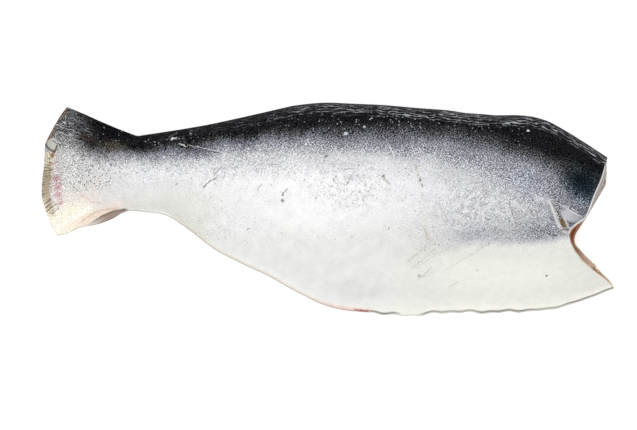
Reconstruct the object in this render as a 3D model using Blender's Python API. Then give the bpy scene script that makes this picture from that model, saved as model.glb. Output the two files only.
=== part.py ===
"""A gutted, headless pangasius (a river catfish) lying on its left side, fins trimmed.

+X runs from the cut tail fin to the cut head end, +Y from the belly to the back, and +Z is up from
the table. The origin is the middle of the fish's box, on the table. All sizes are in metres.

The fish is one closed skin. Each cross-section is a loop of points that starts at the upper belly
lip, goes over the upper flank to the back and returns under the lower flank to the lower lip. From
the vent forward the loop is open, and a second, inner loop lines the empty belly. A face across the
head cut joins both loops.
"""

import math

import bmesh
import bpy
import numpy as np
from mathutils import Matrix, Vector

# Driving dimensions of the fish as it lies
LENGTH = 0.400  # cut edge of the tail fin to the tip of the throat
DEPTH = 0.149  # lowest point of the belly to the highest point of the back
THICKNESS = 0.064  # of the flanks at their widest, before the table flattens the lower one

# Outlines from above: (share of LENGTH from the tail, share of DEPTH from the belly)
BACK_LINE = (
    (0.000, 1.012),
    (0.042, 0.979),
    (0.073, 0.9455),
    (0.105, 0.907),
    (0.155, 0.853),
    (0.168, 0.842),
    (0.178, 0.846),
    (0.217, 0.8615),
    (0.290, 0.894),
    (0.329, 0.916),
    (0.389, 0.952),
    (0.420, 0.971),
    (0.443, 0.984),
    (0.500, 0.997),
    (0.537, 0.993),
    (0.595, 0.986),
    (0.656, 0.972),
    (0.711, 0.9605),
    (0.745, 0.9475),
    (0.766, 0.944),
    (0.798, 0.9375),
    (0.825, 0.9385),
    (0.847, 0.935),
    (0.880, 0.9145),
    (0.905, 0.881),
    (0.945, 0.816),
    (0.987, 0.743),
    (1.000, 0.721),
)
BELLY_LINE = (
    (0.000, 0.357),
    (0.024, 0.379),
    (0.038, 0.386),
    (0.066, 0.418),
    (0.094, 0.432),
    (0.125, 0.463),
    (0.141, 0.489),
    (0.157, 0.498),
    (0.175, 0.493),
    (0.210, 0.481),
    (0.259, 0.403),
    (0.300, 0.318),
    (0.346, 0.2525),
    (0.400, 0.184),
    (0.425, 0.145),
    (0.456, 0.1005),
    (0.490, 0.057),
    (0.520, 0.0335),
    (0.567, 0.017),
    (0.637, 0.006),
    (0.742, 0.018),
    (0.848, 0.021),
    (0.889, 0.032),
    (0.929, 0.060),
    (1.000, 0.127),
)

# Cross-sections: (share of LENGTH from the tail, value)
HALF_WIDTH = (  # share of THICKNESS / 2
    (0.00, 0.065),
    (0.05, 0.10),
    (0.10, 0.18),
    (0.15, 0.29),
    (0.20, 0.38),
    (0.30, 0.57),
    (0.42, 0.80),
    (0.55, 0.95),
    (0.70, 1.00),
    (0.86, 1.00),
    (0.95, 0.96),
    (1.00, 0.92),
)
WIDEST_AT = (  # share of the depth there, from the belly
    (0.00, 0.50),
    (0.12, 0.50),
    (0.20, 0.56),
    (0.35, 0.65),
    (0.60, 0.63),
    (1.00, 0.58),
)
BACK_ROUNDNESS = ((0.00, 4.0), (0.12, 2.8), (0.22, 2.1), (1.00, 2.2))
BELLY_ROUNDNESS = ((0.00, 4.0), (0.12, 2.6), (0.22, 1.9), (0.45, 1.6), (1.00, 1.7))
BELLY_TAPER = ((0.00, 0.50), (0.12, 0.55), (0.22, 0.70), (0.45, 0.90), (1.00, 0.95))
BACK_HEIGHT = (  # of the fish's middle plane over the table, at the back
    (0.00, 0.0090),
    (0.10, 0.0125),
    (0.17, 0.0165),
    (0.30, 0.0205),
    (0.42, 0.0245),
    (0.60, 0.0270),
    (1.00, 0.0270),
)
BELLY_HEIGHT = (  # and at the belly, which hangs lower
    (0.00, 0.0085),
    (0.10, 0.0110),
    (0.17, 0.0135),
    (0.30, 0.0130),
    (0.45, 0.0105),
    (0.57, 0.0080),
    (0.70, 0.0068),
    (1.00, 0.0066),
)
KEEL = (  # half the thickness of the fish's lower edge
    (0.00, 0.0012),
    (0.10, 0.0020),
    (0.17, 0.0025),
    (0.50, 0.0023),
    (0.57, 0.0032),
    (0.62, 0.0042),
    (1.00, 0.0046),
)

# The cut ends: (share of the depth there from the belly, share of LENGTH from the tail)
TAIL_CUT = (
    (0.000, 0.0245),
    (0.090, 0.0135),
    (0.155, 0.0088),
    (0.218, 0.0042),
    (0.330, -0.0014),
    (0.416, -0.0005),
    (0.574, 0.0038),
    (0.674, 0.0042),
    (0.720, 0.0083),
    (0.816, 0.0195),
    (0.920, 0.0319),
    (1.000, 0.0428),
)
HEAD_CUT_UPPER_SIDE = (
    (0.000, 1.0015),
    (0.079, 0.9865),
    (0.181, 0.9605),
    (0.267, 0.9380),
    (0.334, 0.9250),
    (0.372, 0.9210),
    (0.404, 0.9190),
    (0.434, 0.9225),
    (0.467, 0.9320),
    (0.502, 0.9440),
    (0.688, 0.9640),
    (0.824, 0.9770),
    (1.000, 0.9880),
)
HEAD_CUT_LOWER_SIDE = (
    (0.000, 1.0015),
    (0.055, 0.9960),
    (0.104, 0.9875),
    (0.148, 0.9790),
    (0.188, 0.9725),
    (0.304, 0.9460),
    (0.371, 0.9310),
    (0.426, 0.9380),
    (0.493, 0.9490),
    (0.628, 0.9685),
    (0.730, 0.9810),
    (0.809, 0.9880),
    (1.000, 0.9880),
)
TAIL_CUT_REACH = 0.13  # how far along the fish the slant of each cut still bends the sections
HEAD_CUT_FROM = 0.70
HEAD_CUT_SWELL = 0.0006  # of the flesh out of the cut, midway between the skin and the belly lining

# The bare strip of fin rays at the tail's cut edge
RAY_STRIP = 0.0048
RAY_STRIP_THICKNESS = 0.74  # of the skinned fin beside it

# The empty belly
VENT = 0.570  # where the belly slit ends, as a share of LENGTH
SLIT_HALF_GAP = 0.0010
LIP_BULGE = 0.0012
LIP_WAVE_HEIGHT = 0.0004
LIP_WAVES = ((0.061, 0.0), (0.034, 1.1), (0.145, 2.4))  # (length as a share of LENGTH, shift)
WALL = 0.0075  # flank wall round the belly
ROOF = (  # height of the empty belly, as a share of the depth there
    (0.570, 0.00),
    (0.590, 0.08),
    (0.660, 0.28),
    (0.750, 0.41),
    (0.860, 0.47),
    (0.950, 0.50),
    (1.000, 0.50),
)

# The slit left by the trimmed side fin, and the end of the backbone in the head cut
FIN_SLIT_CENTRE = (0.1640, -0.0090)
FIN_SLIT_SIZE = (0.0150, 0.0030, 0.0100)
FIN_SLIT_TURN = math.radians(-63)
BACKBONE_CENTRE = (0.1923, 0.0210, 0.0290)
BACKBONE_RADIUS = 0.0058
BACKBONE_STANDS_OUT = 0.0012
BACKBONE_FACING = (1.0, -0.27, 0.18)  # out of the head cut, which slants

# Mesh density
GIRTH_POINTS = 44
LIP_POINTS = 2
CUT_ROWS = 7
SETTLE = 0.0012  # over this height the lower flank rounds into the part that lies flat


def curve_through(stations, at):
    """A smooth curve through (position, value) stations that never overshoots them."""
    x, y = np.array(stations, float).T
    steps = np.diff(x)
    slopes = np.diff(y) / steps
    tangents = np.empty_like(y)
    tangents[0], tangents[-1] = slopes[0], slopes[-1]
    before, after = slopes[:-1], slopes[1:]
    long_after, long_before = 2 * steps[1:] + steps[:-1], steps[1:] + 2 * steps[:-1]
    turning = before * after <= 0
    safe_before, safe_after = np.where(turning, 1, before), np.where(turning, 1, after)
    mean = (long_after + long_before) / (long_after / safe_before + long_before / safe_after)
    tangents[1:-1] = np.where(turning, 0, mean)
    i = np.clip(np.searchsorted(x, at, side="right") - 1, 0, len(steps) - 1)
    h = steps[i]
    t = (at - x[i]) / h
    rise = y[i] + (y[i + 1] - y[i]) * t * t * (3 - 2 * t)
    return rise + h * t * (1 - t) * (tangents[i] * (1 - t) - tangents[i + 1] * t)


def smooth_step(low, high, value):
    t = np.clip((value - low) / (high - low), 0, 1)
    return t * t * (3 - 2 * t)


def settled(z):
    """Height above the table, with what would lie below it pressed flat."""
    pressed = np.where(z < SETTLE, (z + SETTLE) ** 2 / (4 * SETTLE), z)
    return np.where(z < -SETTLE, 0, pressed)


def bent_along(along, across, level):
    """The place along the fish once the slanted cuts have drawn in the ends of a section.

    across runs from the belly (0) to the back (1), level from the lower side (-1) to the upper (1).
    """
    upper = curve_through(HEAD_CUT_UPPER_SIDE, across)
    lower = curve_through(HEAD_CUT_LOWER_SIDE, across)
    head_cut = lower + (upper - lower) * (level + 1) / 2
    near_head = smooth_step(HEAD_CUT_FROM, 1, along)
    near_tail = 1 - smooth_step(0, TAIL_CUT_REACH, along)
    return along + near_head * (head_cut - 1) + near_tail * curve_through(TAIL_CUT, across)


def side_heights(along, across):
    """Middle plane of the fish and half its thickness there."""
    widest = curve_through(WIDEST_AT, along)
    to_back = np.clip((across - widest) / (1 - widest), 0, 1)
    to_belly = np.clip((widest - across) / widest, 0, 1)
    back = np.sqrt(1 - to_back ** curve_through(BACK_ROUNDNESS, along))
    belly = (1 - to_belly ** curve_through(BELLY_ROUNDNESS, along)) ** curve_through(BELLY_TAPER, along)
    half = THICKNESS / 2 * curve_through(HALF_WIDTH, along) * back * belly
    strip = RAY_STRIP / LENGTH
    half = half * (1 - (1 - RAY_STRIP_THICKNESS) * (1 - smooth_step(strip, 1.25 * strip, along)))
    keel = curve_through(KEEL, along) * np.clip(1 - across / 0.3, 0, 1) ** 2
    low, high = curve_through(BELLY_HEIGHT, along), curve_through(BACK_HEIGHT, along)
    middle = low + (high - low) * smooth_step(0, 0.65, across)
    return middle, np.hypot(half, keel)


def edge_waves(along):
    """The cut belly edge isn't straight: it puckers most just in front of the vent."""
    puckered = smooth_step(0.52, 0.60, along) * (1 - 0.7 * smooth_step(0.80, 0.92, along))
    waves = sum(np.sin(2 * math.pi * along / length + shift) for length, shift in LIP_WAVES)
    return LIP_WAVE_HEIGHT * waves * puckered


def outline(along, across):
    back, belly = curve_through(BACK_LINE, along), curve_through(BELLY_LINE, along)
    edge = edge_waves(along) * np.clip(1 - across / 0.08, 0, 1) ** 2
    return (belly + across * (back - belly) - 0.5) * DEPTH + edge


def skin_level(turn):
    """1 on the upper side and -1 on the lower, meeting over the narrow back and belly edges."""
    return np.where(turn < math.pi, 1.0, -1.0) * np.clip(3 * np.abs(np.sin(turn)), 0, 1)


def flank_points(along, turn):
    """Points of the skin. turn runs from the upper lip (0) over the back (pi) to the lower lip (2 pi)."""
    across = (1 - np.cos(turn)) / 2
    place = bent_along(along, across, skin_level(turn))
    middle, half = side_heights(place, across)
    side = np.where(turn <= math.pi, 1, -1)
    return np.stack([(place - 0.5) * LENGTH, outline(place, across), settled(middle + side * half)], -1)


def slit_opening(along):
    return smooth_step(VENT, VENT + 0.06, along)


def lip_points(along, share, side):
    """Points round the lower edge: share goes from the skin (0) to the slit's edge (1)."""
    place = bent_along(along, 0 * share, side * (1 - 0.5 * share))
    middle, _ = side_heights(place, 0 * share)
    keel = curve_through(KEEL, place)
    opened = slit_opening(place)
    gap = SLIT_HALF_GAP * opened
    z = middle + side * (gap + (keel - gap) * np.cos(share * math.pi / 2))
    closed_bulge, open_bulge = np.sin(share * math.pi / 2), np.sin(share * math.pi)
    y = outline(place, 0 * share) - LIP_BULGE * (closed_bulge + (open_bulge - closed_bulge) * opened)
    return np.stack([(place - 0.5) * LENGTH, y, settled(z)], -1)


def lining_level(turn):
    """Level of the belly's wall, which lies between the two sides and closes at the roof."""
    climb = (1 - np.cos(turn)) / 2
    return np.where(turn <= math.pi, 1, -1) * (0.5 + 0.2 * climb) * np.sqrt(1 - climb**4)


def lining_points(along, turn):
    """Points of the empty belly's wall, with turn as in flank_points."""
    roof = np.maximum(curve_through(ROOF, along), 1e-4)
    climb = (1 - np.cos(turn)) / 2
    across = roof * climb
    side = np.where(turn <= math.pi, 1, -1)
    closing = np.sqrt(1 - climb**4)
    place = bent_along(along, across, lining_level(turn))
    middle, half = side_heights(place, across)
    keel = curve_through(KEEL, place)
    lip = keel - SLIT_HALF_GAP * slit_opening(place)
    wall = lip + (WALL - lip) * smooth_step(0, 0.22, across)
    upper, lower = settled(middle + half) - wall, settled(middle - half) + wall
    least = SLIT_HALF_GAP * slit_opening(place)
    gap = np.maximum((upper - lower) / 2, least) * closing
    y = outline(place, across) - LIP_BULGE * (1 - slit_opening(place)) * (1 - climb)
    return np.stack([(place - 0.5) * LENGTH, y, (upper + lower) / 2 + side * gap], -1)


def head_cut_points(turn, share):
    """Points of the head cut's face. share goes from the skin's edge (0) to the belly lining's edge (1)."""
    end = np.ones_like(turn)
    skin_height, lining_height = flank_points(end, turn)[:, 2], lining_points(end, turn)[:, 2]
    across = (1 - np.cos(turn)) / 2 * (1 + (ROOF[-1][1] - 1) * share)
    place = bent_along(end, across, skin_level(turn) + (lining_level(turn) - skin_level(turn)) * share)
    x = (place - 0.5) * LENGTH + HEAD_CUT_SWELL * math.sin(share * math.pi)
    return np.stack([x, outline(place, across), skin_height + (lining_height - skin_height) * share], -1)


def rows_along():
    """Places of the cross-sections: close together at the cuts, where the shape changes fastest."""
    strip = RAY_STRIP / LENGTH
    parts = (
        (0, strip, 2),
        (strip, 1.25 * strip, 1),
        (1.25 * strip, 0.10, 7),
        (0.10, 0.24, 14),
        (0.24, VENT, 24),
        (VENT, 0.66, 9),
        (0.66, 0.86, 12),
        (0.86, 1.0, 15),
    )
    places = [np.linspace(low, high, count, endpoint=False) for low, high, count in parts]
    return np.append(np.concatenate(places), 1.0)


def add_row(mesh, points):
    return [mesh.verts.new(point) for point in points]


def join_rows(mesh, first, second):
    for a, b, c, d in zip(first, first[1:], second[1:], second):
        corners = list(dict.fromkeys((a, b, c, d)))
        if len(corners) > 2:
            mesh.faces.new(corners)


def skin_rows(mesh, places, turns):
    """Rows of vertices round the outside. Behind the vent the two lips share their last vertex."""
    shares = np.linspace(0, 1, LIP_POINTS + 1)[1:]
    rows = []
    for place in places:
        flank = flank_points(np.full_like(turns, place), turns)
        upper_lip = lip_points(np.full_like(shares, place), shares, 1)
        lower_lip = lip_points(np.full_like(shares, place), shares, -1)
        upper = add_row(mesh, upper_lip[::-1])
        row = upper + add_row(mesh, flank) + add_row(mesh, lower_lip[:-1])
        closed = place <= VENT + 1e-9
        row.append(upper[0] if closed else mesh.verts.new(lower_lip[-1]))
        rows.append(row)
    return rows


def lining_rows(mesh, places, turns, skin):
    """Rows of vertices inside the belly. Their ends are the slit's edges, which the skin owns."""
    rows = [[skin[0][0]]]
    for place, edges in zip(places[1:], skin[1:]):
        inner = lining_points(np.full_like(turns, place), turns)
        rows.append([edges[0]] + add_row(mesh, inner[1:-1]) + [edges[-1]])
    return rows


def close_lining_end(mesh, vent, first):
    for a, b in zip(first, first[1:]):
        mesh.faces.new((vent, a, b))


def join_cut_rows(mesh, first, second):
    """Joins two rows of the head cut by triangles that slant along the bottom of its V."""
    middle = len(first) // 2
    for i, (a, b, c, d) in enumerate(zip(first, first[1:], second[1:], second)):
        triangles = ((a, b, c), (a, c, d)) if i < middle else ((a, b, d), (b, c, d))
        for corners in triangles:
            if len(set(corners)) == 3:
                mesh.faces.new(corners)


def close_head_cut(mesh, turns, skin_end, lining_end):
    """The cut face: from the skin's edge to the belly lining's edge, swelling a little between."""
    outer = skin_end[LIP_POINTS:-LIP_POINTS]
    previous = outer
    for share in np.arange(1, CUT_ROWS) / CUT_ROWS:
        row = [outer[0]] + add_row(mesh, head_cut_points(turns[1:-1], share)) + [outer[-1]]
        join_cut_rows(mesh, previous, row)
        previous = row
    join_cut_rows(mesh, previous, [outer[0]] + lining_end[1:-1] + [outer[-1]])
    upper_lip, lower_lip = skin_end[: LIP_POINTS + 1], skin_end[-LIP_POINTS - 1 :]
    for lip, slit in ((upper_lip, lining_end[1]), (lower_lip, lining_end[-2])):
        for a, b in zip(lip, lip[1:]):
            mesh.faces.new((a, b, slit))


def close_tail_cut(mesh, row):
    """Joins the upper edge of the cut tail fin to the lower one."""
    count = len(row) - 1
    for i in range(count // 2):
        corners = list(dict.fromkeys((row[i], row[i + 1], row[count - i - 1], row[count - i])))
        mesh.faces.new(corners)


def fish_mesh():
    """The whole fish as one closed mesh, before the slits are cut."""
    mesh = bmesh.new()
    places = rows_along()
    turns = np.linspace(0, 2 * math.pi, GIRTH_POINTS + 1)
    skin = skin_rows(mesh, places, turns)
    for first, second in zip(skin, skin[1:]):
        join_rows(mesh, first, second)
    vent = int(np.argmin(np.abs(places - VENT)))
    lining = lining_rows(mesh, places[vent:], turns, skin[vent:])
    close_lining_end(mesh, lining[0][0], lining[1])
    for first, second in zip(lining[1:], lining[2:]):
        join_rows(mesh, first, second)
    close_head_cut(mesh, turns, skin[-1], lining[-1])
    close_tail_cut(mesh, skin[0])
    bmesh.ops.recalc_face_normals(mesh, faces=mesh.faces)
    return mesh


def material(name, colour, roughness):
    made = bpy.data.materials.new(name)
    made.use_nodes = True
    shader = made.node_tree.nodes["Principled BSDF"]
    shader.inputs["Base Color"].default_value = (*colour, 1)
    shader.inputs["Roughness"].default_value = roughness
    return made


def new_object(name, mesh, finish=None):
    data = bpy.data.meshes.new(name)
    mesh.to_mesh(data)
    mesh.free()
    made = bpy.data.objects.new(name, data)
    bpy.context.scene.collection.objects.link(made)
    if finish:
        data.materials.append(finish)
    return made


def side_fin_slit(side, height):
    """A lens-shaped cutter for the slit that the trimmed side fin leaves, on the upper or lower side."""
    mesh = bmesh.new()
    bmesh.ops.create_uvsphere(mesh, u_segments=20, v_segments=10, radius=0.5)
    bmesh.ops.scale(mesh, vec=FIN_SLIT_SIZE, verts=mesh.verts)
    turn = Matrix.Rotation(FIN_SLIT_TURN, 4, "Z")
    place = Matrix.Translation((*FIN_SLIT_CENTRE, height))
    bmesh.ops.transform(mesh, matrix=place @ turn, verts=mesh.verts)
    cutter = new_object(f"side_fin_slit_{side}", mesh)
    cutter.hide_render = True
    cutter.display_type = "WIRE"
    return cutter


def backbone_end():
    """The sawn vertebra: a short round stub with a dished end."""
    mesh = bmesh.new()
    end = BACKBONE_STANDS_OUT
    profile = ((0, -0.006), (BACKBONE_RADIUS, -0.006), (BACKBONE_RADIUS, end - 0.0006))
    profile += ((0.88 * BACKBONE_RADIUS, end), (0.62 * BACKBONE_RADIUS, end - 0.0002), (0, end - 0.0016))
    points = [mesh.verts.new((x, 0, z)) for x, z in profile]
    edges = [mesh.edges.new(pair) for pair in zip(points, points[1:])]
    turned = {"axis": (0, 0, 1), "cent": (0, 0, 0), "angle": 2 * math.pi, "steps": 20}
    bmesh.ops.spin(mesh, geom=points + edges, use_merge=True, **turned)
    bmesh.ops.remove_doubles(mesh, verts=mesh.verts, dist=1e-6)
    bmesh.ops.recalc_face_normals(mesh, faces=mesh.faces)
    facing = Vector(BACKBONE_FACING).to_track_quat("Z", "Y").to_matrix().to_4x4()
    bmesh.ops.transform(mesh, matrix=Matrix.Translation(BACKBONE_CENTRE) @ facing, verts=mesh.verts)
    stub = new_object("backbone_end", mesh)
    stub.hide_render = True
    stub.display_type = "WIRE"
    return stub


def centre_on_table(obj):
    """Moves the mesh so that the origin is the middle of its box, on the table."""
    corners = np.array([v.co for v in obj.data.vertices])
    low, high = corners.min(0), corners.max(0)
    middle = (low + high) / 2
    obj.data.transform(Matrix.Translation((-middle[0], -middle[1], -low[2])))


def carve(obj, tools):
    """Applies each (operation, tool) in turn and removes the tools."""
    for operation, tool in tools:
        modifier = obj.modifiers.new(tool.name, "BOOLEAN")
        modifier.operation = operation
        modifier.object = tool
    graph = bpy.context.evaluated_depsgraph_get()
    carved = bpy.data.meshes.new_from_object(obj.evaluated_get(graph))
    obj.modifiers.clear()
    obj.data = carved
    for _, tool in tools:
        bpy.data.objects.remove(tool)


def main():
    for old in list(bpy.data.objects):
        bpy.data.objects.remove(old)
    skin = material("wet_silver_skin", (0.62, 0.63, 0.64), 0.28)
    fish = new_object("headless_pangasius", fish_mesh(), skin)
    carve(
        fish,
        (
            ("UNION", backbone_end()),
            ("DIFFERENCE", side_fin_slit("upper", 0.0500)),
        ),
    )
    centre_on_table(fish)
    fish.data.shade_smooth()


main()
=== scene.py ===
"""Looks of the headless pangasius: wet pigmented skin, cut flesh, the empty belly and the fin-ray stub.

The fish is built by the rules of the CAD part, only with a finer mesh. Everything is in metres in the
frame's axes: +X to the head cut, +Y to the back, +Z up from the table.
"""

import math

import bmesh
import bpy
import numpy as np
from mathutils import Matrix, Vector

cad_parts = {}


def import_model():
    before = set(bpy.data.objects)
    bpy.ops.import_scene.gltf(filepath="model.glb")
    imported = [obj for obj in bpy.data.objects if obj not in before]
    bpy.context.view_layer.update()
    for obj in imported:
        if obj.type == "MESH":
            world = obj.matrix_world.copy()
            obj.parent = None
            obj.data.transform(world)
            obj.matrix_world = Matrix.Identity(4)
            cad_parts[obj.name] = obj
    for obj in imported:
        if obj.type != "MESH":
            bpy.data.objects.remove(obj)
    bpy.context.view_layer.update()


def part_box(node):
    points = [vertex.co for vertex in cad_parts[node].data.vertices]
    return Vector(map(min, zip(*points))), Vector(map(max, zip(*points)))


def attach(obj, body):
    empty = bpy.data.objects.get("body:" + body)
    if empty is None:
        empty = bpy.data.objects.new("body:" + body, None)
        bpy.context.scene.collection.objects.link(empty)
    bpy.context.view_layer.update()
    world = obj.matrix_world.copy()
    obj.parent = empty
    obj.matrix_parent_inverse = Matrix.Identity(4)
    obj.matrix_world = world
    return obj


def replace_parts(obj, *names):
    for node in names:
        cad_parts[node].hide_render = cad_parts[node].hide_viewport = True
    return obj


MM = 0.001

# ------ the fish's form, as in the CAD part
LENGTH = 0.400
DEPTH = 0.149
THICKNESS = 0.064

BACK_LINE = (
    (0, 1.012), (0.042, 0.979), (0.073, 0.9455), (0.105, 0.907), (0.155, 0.853), (0.168, 0.842),
    (0.178, 0.846), (0.217, 0.8615), (0.29, 0.894), (0.329, 0.916), (0.389, 0.952), (0.42, 0.971),
    (0.443, 0.984), (0.5, 0.997), (0.537, 0.993), (0.595, 0.986), (0.656, 0.972), (0.711, 0.9605),
    (0.745, 0.9475), (0.766, 0.944), (0.798, 0.9375), (0.825, 0.9385), (0.847, 0.935), (0.88, 0.9145),
    (0.905, 0.881), (0.945, 0.816), (0.987, 0.743), (1, 0.721),
)
BELLY_LINE = (
    (0, 0.357), (0.024, 0.379), (0.038, 0.386), (0.066, 0.418), (0.094, 0.432), (0.125, 0.463),
    (0.141, 0.489), (0.157, 0.498), (0.175, 0.493), (0.21, 0.481), (0.259, 0.403), (0.3, 0.318),
    (0.346, 0.2525), (0.4, 0.184), (0.425, 0.145), (0.456, 0.1005), (0.49, 0.057), (0.52, 0.0335),
    (0.567, 0.017), (0.637, 0.006), (0.742, 0.018), (0.848, 0.021), (0.889, 0.032), (0.929, 0.06),
    (1, 0.127),
)
HALF_WIDTH = (
    (0, 0.065), (0.05, 0.1), (0.1, 0.18), (0.15, 0.29), (0.2, 0.38), (0.3, 0.57), (0.42, 0.8),
    (0.55, 0.95), (0.7, 1), (0.86, 1), (0.95, 0.96), (1, 0.92),
)
WIDEST_AT = (
    (0, 0.5), (0.12, 0.5), (0.2, 0.56), (0.35, 0.65), (0.6, 0.63), (1, 0.58),
)
BACK_ROUNDNESS = ((0, 4), (0.12, 2.8), (0.22, 2.1), (1, 2.2))
BELLY_ROUNDNESS = ((0, 4), (0.12, 2.6), (0.22, 1.9), (0.45, 1.6), (1, 1.7))
BELLY_TAPER = ((0, 0.5), (0.12, 0.55), (0.22, 0.7), (0.45, 0.9), (1, 0.95))
BACK_HEIGHT = (
    (0, 0.009), (0.1, 0.0125), (0.17, 0.0165), (0.3, 0.0205), (0.42, 0.0245), (0.6, 0.027), (1, 0.027),
)
BELLY_HEIGHT = (
    (0, 0.0085), (0.1, 0.011), (0.17, 0.0135), (0.3, 0.013), (0.45, 0.0105), (0.57, 0.008),
    (0.7, 0.0068), (1, 0.0066),
)
KEEL = (
    (0, 0.0012), (0.1, 0.002), (0.17, 0.0025), (0.5, 0.0023), (0.57, 0.0032), (0.62, 0.0042),
    (1, 0.0046),
)
TAIL_CUT = (
    (0, 0.0245), (0.09, 0.0135), (0.155, 0.0088), (0.218, 0.0042), (0.33, -0.0014), (0.416, -0.0005),
    (0.574, 0.0038), (0.674, 0.0042), (0.72, 0.0083), (0.816, 0.0195), (0.92, 0.0319), (1, 0.0428),
)
HEAD_CUT_UPPER_SIDE = (
    (0, 1.0015), (0.079, 0.9865), (0.181, 0.9605), (0.267, 0.938), (0.334, 0.925), (0.372, 0.921),
    (0.404, 0.919), (0.434, 0.9225), (0.467, 0.932), (0.502, 0.944), (0.688, 0.964), (0.824, 0.977),
    (1, 0.988),
)
HEAD_CUT_LOWER_SIDE = (
    (0, 1.0015), (0.055, 0.996), (0.104, 0.9875), (0.148, 0.979), (0.188, 0.9725), (0.304, 0.946),
    (0.371, 0.931), (0.426, 0.938), (0.493, 0.949), (0.628, 0.9685), (0.73, 0.981), (0.809, 0.988),
    (1, 0.988),
)
TAIL_CUT_REACH = 0.13
HEAD_CUT_FROM = 0.70
HEAD_CUT_SWELL = 0.0006
RAY_STRIP = 0.0048
RAY_STRIP_THICKNESS = 0.74
VENT = 0.570
SLIT_HALF_GAP = 0.0010
LIP_BULGE = 0.0012
LIP_WAVE_HEIGHT = 0.0004
LIP_WAVES = ((0.061, 0), (0.034, 1.1), (0.145, 2.4))
WALL = 0.0075
ROOF = (
    (0.57, 0), (0.59, 0.08), (0.66, 0.28), (0.75, 0.41), (0.86, 0.47), (0.95, 0.5), (1, 0.5),
)
BACKBONE_CENTRE = (0.1923, 0.0210, 0.0290)
BACKBONE_FACING = (1.0, -0.27, 0.18)
SETTLE = 0.0012

# ------ mesh density of the visible fish
LIP_POINTS = 4
CUT_ROWS = 26
ROWS = (  # (from, to, count) along the fish
    (0, 0.08, 58), (0.08, 0.57, 152), (0.57, 0.86, 94), (0.86, 1, 106),
)
UPPER_GIRTH = ((0, 0.1, 12), (0.1, 0.85, 160), (0.85, 1, 28))  # (from, to, count) across
LOWER_GIRTH_POINTS = 24
BACK_COLUMN = LIP_POINTS + sum(count for _, _, count in UPPER_GIRTH)
LOWER_NOTCH = (0.30, 0.46, 10)  # (from, to, count) across: more points where the head cut's V shows
LINING_ROWS = 110
LINING_FROM = VENT + 0.002

# ------ tones of the skin, in sRGB
# Lines along the flank as (X, Y) in mm: where the back's black ends, where the skin is half grey, where
# the grey levels off and where the flank is at its palest
BLACK_ENDS = (
    (-200, 64), (-188, 60), (-177, 55), (-167, 47), (-153, 45.2), (-139, 43.1), (-125, 44.6), (-104, 47),
    (-62, 52.5), (-20, 57), (15, 60.5), (50, 61.5), (78, 60.5), (106, 56), (127, 51.5), (138, 46),
    (148, 42), (155, 39), (162, 36.5), (169, 34), (176, 32), (200, 24),
)
HALF_GREY = (
    (-200, 51), (-188, 50), (-177, 45), (-167, 39.8), (-139, 37.9), (-104, 37.8), (-62, 44.5),
    (-20, 47.8), (15, 46.2), (33, 47.8), (50, 45.2), (64, 47), (78, 46.2), (92, 45), (106, 40.5),
    (127, 33.6), (148, 27.5), (155, 23), (162, 14.5), (169, 4), (176, 0), (200, -8),
)
GREY_ENDS = (
    (-200, 38), (-188, 37), (-167, 32.4), (-139, 31.6), (-104, 32), (-62, 35.6), (-20, 37), (15, 35.2),
    (33, 36), (50, 32.5), (64, 32), (78, 24.5), (92, 23), (106, 20.5), (127, 17), (148, 9.5), (162, -9),
    (169, -11), (176, -12), (200, -18),
)
PALEST = (
    (-200, 28), (-139, 27), (-104, 25), (-62, 19), (-20, 18), (15, 17), (50, 14), (106, 9), (162, -12),
    (200, -30),
)
# (X in mm, tone)
BACK_TONE = (
    (-200, 0.46), (-188, 0.42), (-180, 0.32), (-173, 0.22), (-165, 0.08), (-155, 0), (-125, 0.02),
    (-60, 0.06), (-20, 0.07), (15, 0.04), (60, 0.04), (110, 0.03), (150, 0.05), (200, 0.03),
)
GREY_TONE = (
    (-200, 0.68), (-167, 0.76), (-139, 0.78), (50, 0.78), (78, 0.76), (106, 0.71), (148, 0.62),
    (200, 0.5),
)
FLANK_TONE = (
    (-200, 0.72), (-167, 0.78), (-139, 0.85), (-104, 0.875), (-62, 0.905), (-20, 0.915), (15, 0.89),
    (50, 0.865), (78, 0.835), (106, 0.805), (127, 0.782), (148, 0.73), (200, 0.68),
)
BELLY_TONE = 0.895
# Soft ellipses: strength, centre and radii in mm, and turn in degrees where there is one
TONE_PATCHES = (
    (0.11, (151, 5.5), (9, 4), -25),
    (0.08, (171, 29), (9, 5), -35),
    (-0.18, (177, 16), (14, 8), -40),
    (-0.03, (158, 21), (17, 11)),
    (0.04, (142, 23), (16, 10)),
    (0.02, (124, 2), (16, 7)),
    (-0.045, (110, 44), (15, 5)),
    (-0.04, (96, -18), (11, 5)),
    (0.035, (125, -46), (80, 13)),
    (-0.03, (22, -58), (26, 9)),
    (0.03, (10, -4), (70, 14)),
    (0.035, (-16, 44), (16, 5)),
    (0.04, (-79, 44), (16, 5)),
)
TEAL_SHOULDER = ((1.0, (178, 15), (16, 12), -40),)
BLUISH_SKIN = ((1, (137, 19), (16, 11)), (0.6, (100, -17), (14, 6)))
RIBBED = ((0.8, (-60, 18), (40, 13)), (1, (112, 4), (40, 20), 8))
PEPPERED = ((1.4, (-163, 31), (15, 16), -10), (0.15, (-140, 30), (50, 14)))
SPECKLED = ((0.12, (-182, 14), (18, 34)), (0.6, (-178, 56), (17, 11), -24))
WRINKLED = ((1, (16, 16), (34, 22)), (0.8, (-60, 30), (60, 12), 2))
HATCHED = ((1.0, (112, 0), (54, 26), 6),)
# Where painted highlights show: glints on the tail's creases, and sparkles along the ridge and the tail's
# root
GLINTING_TAIL = ((1.0, (-181, 57), (16, 7.0), -24),)
BRIGHT_RIDGE = ((0.65, (40, 59), (60, 10)),)
BRIGHT_TAIL_ROOT = ((0.9, (-118, 47), (26, 7), 12),)
RIB_TURN = math.radians(58)  # the muscle's ribs show as faint slanted bands
RIB_SPACING = 6.6  # mm
RIB_CONTRAST = 0.014
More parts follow.
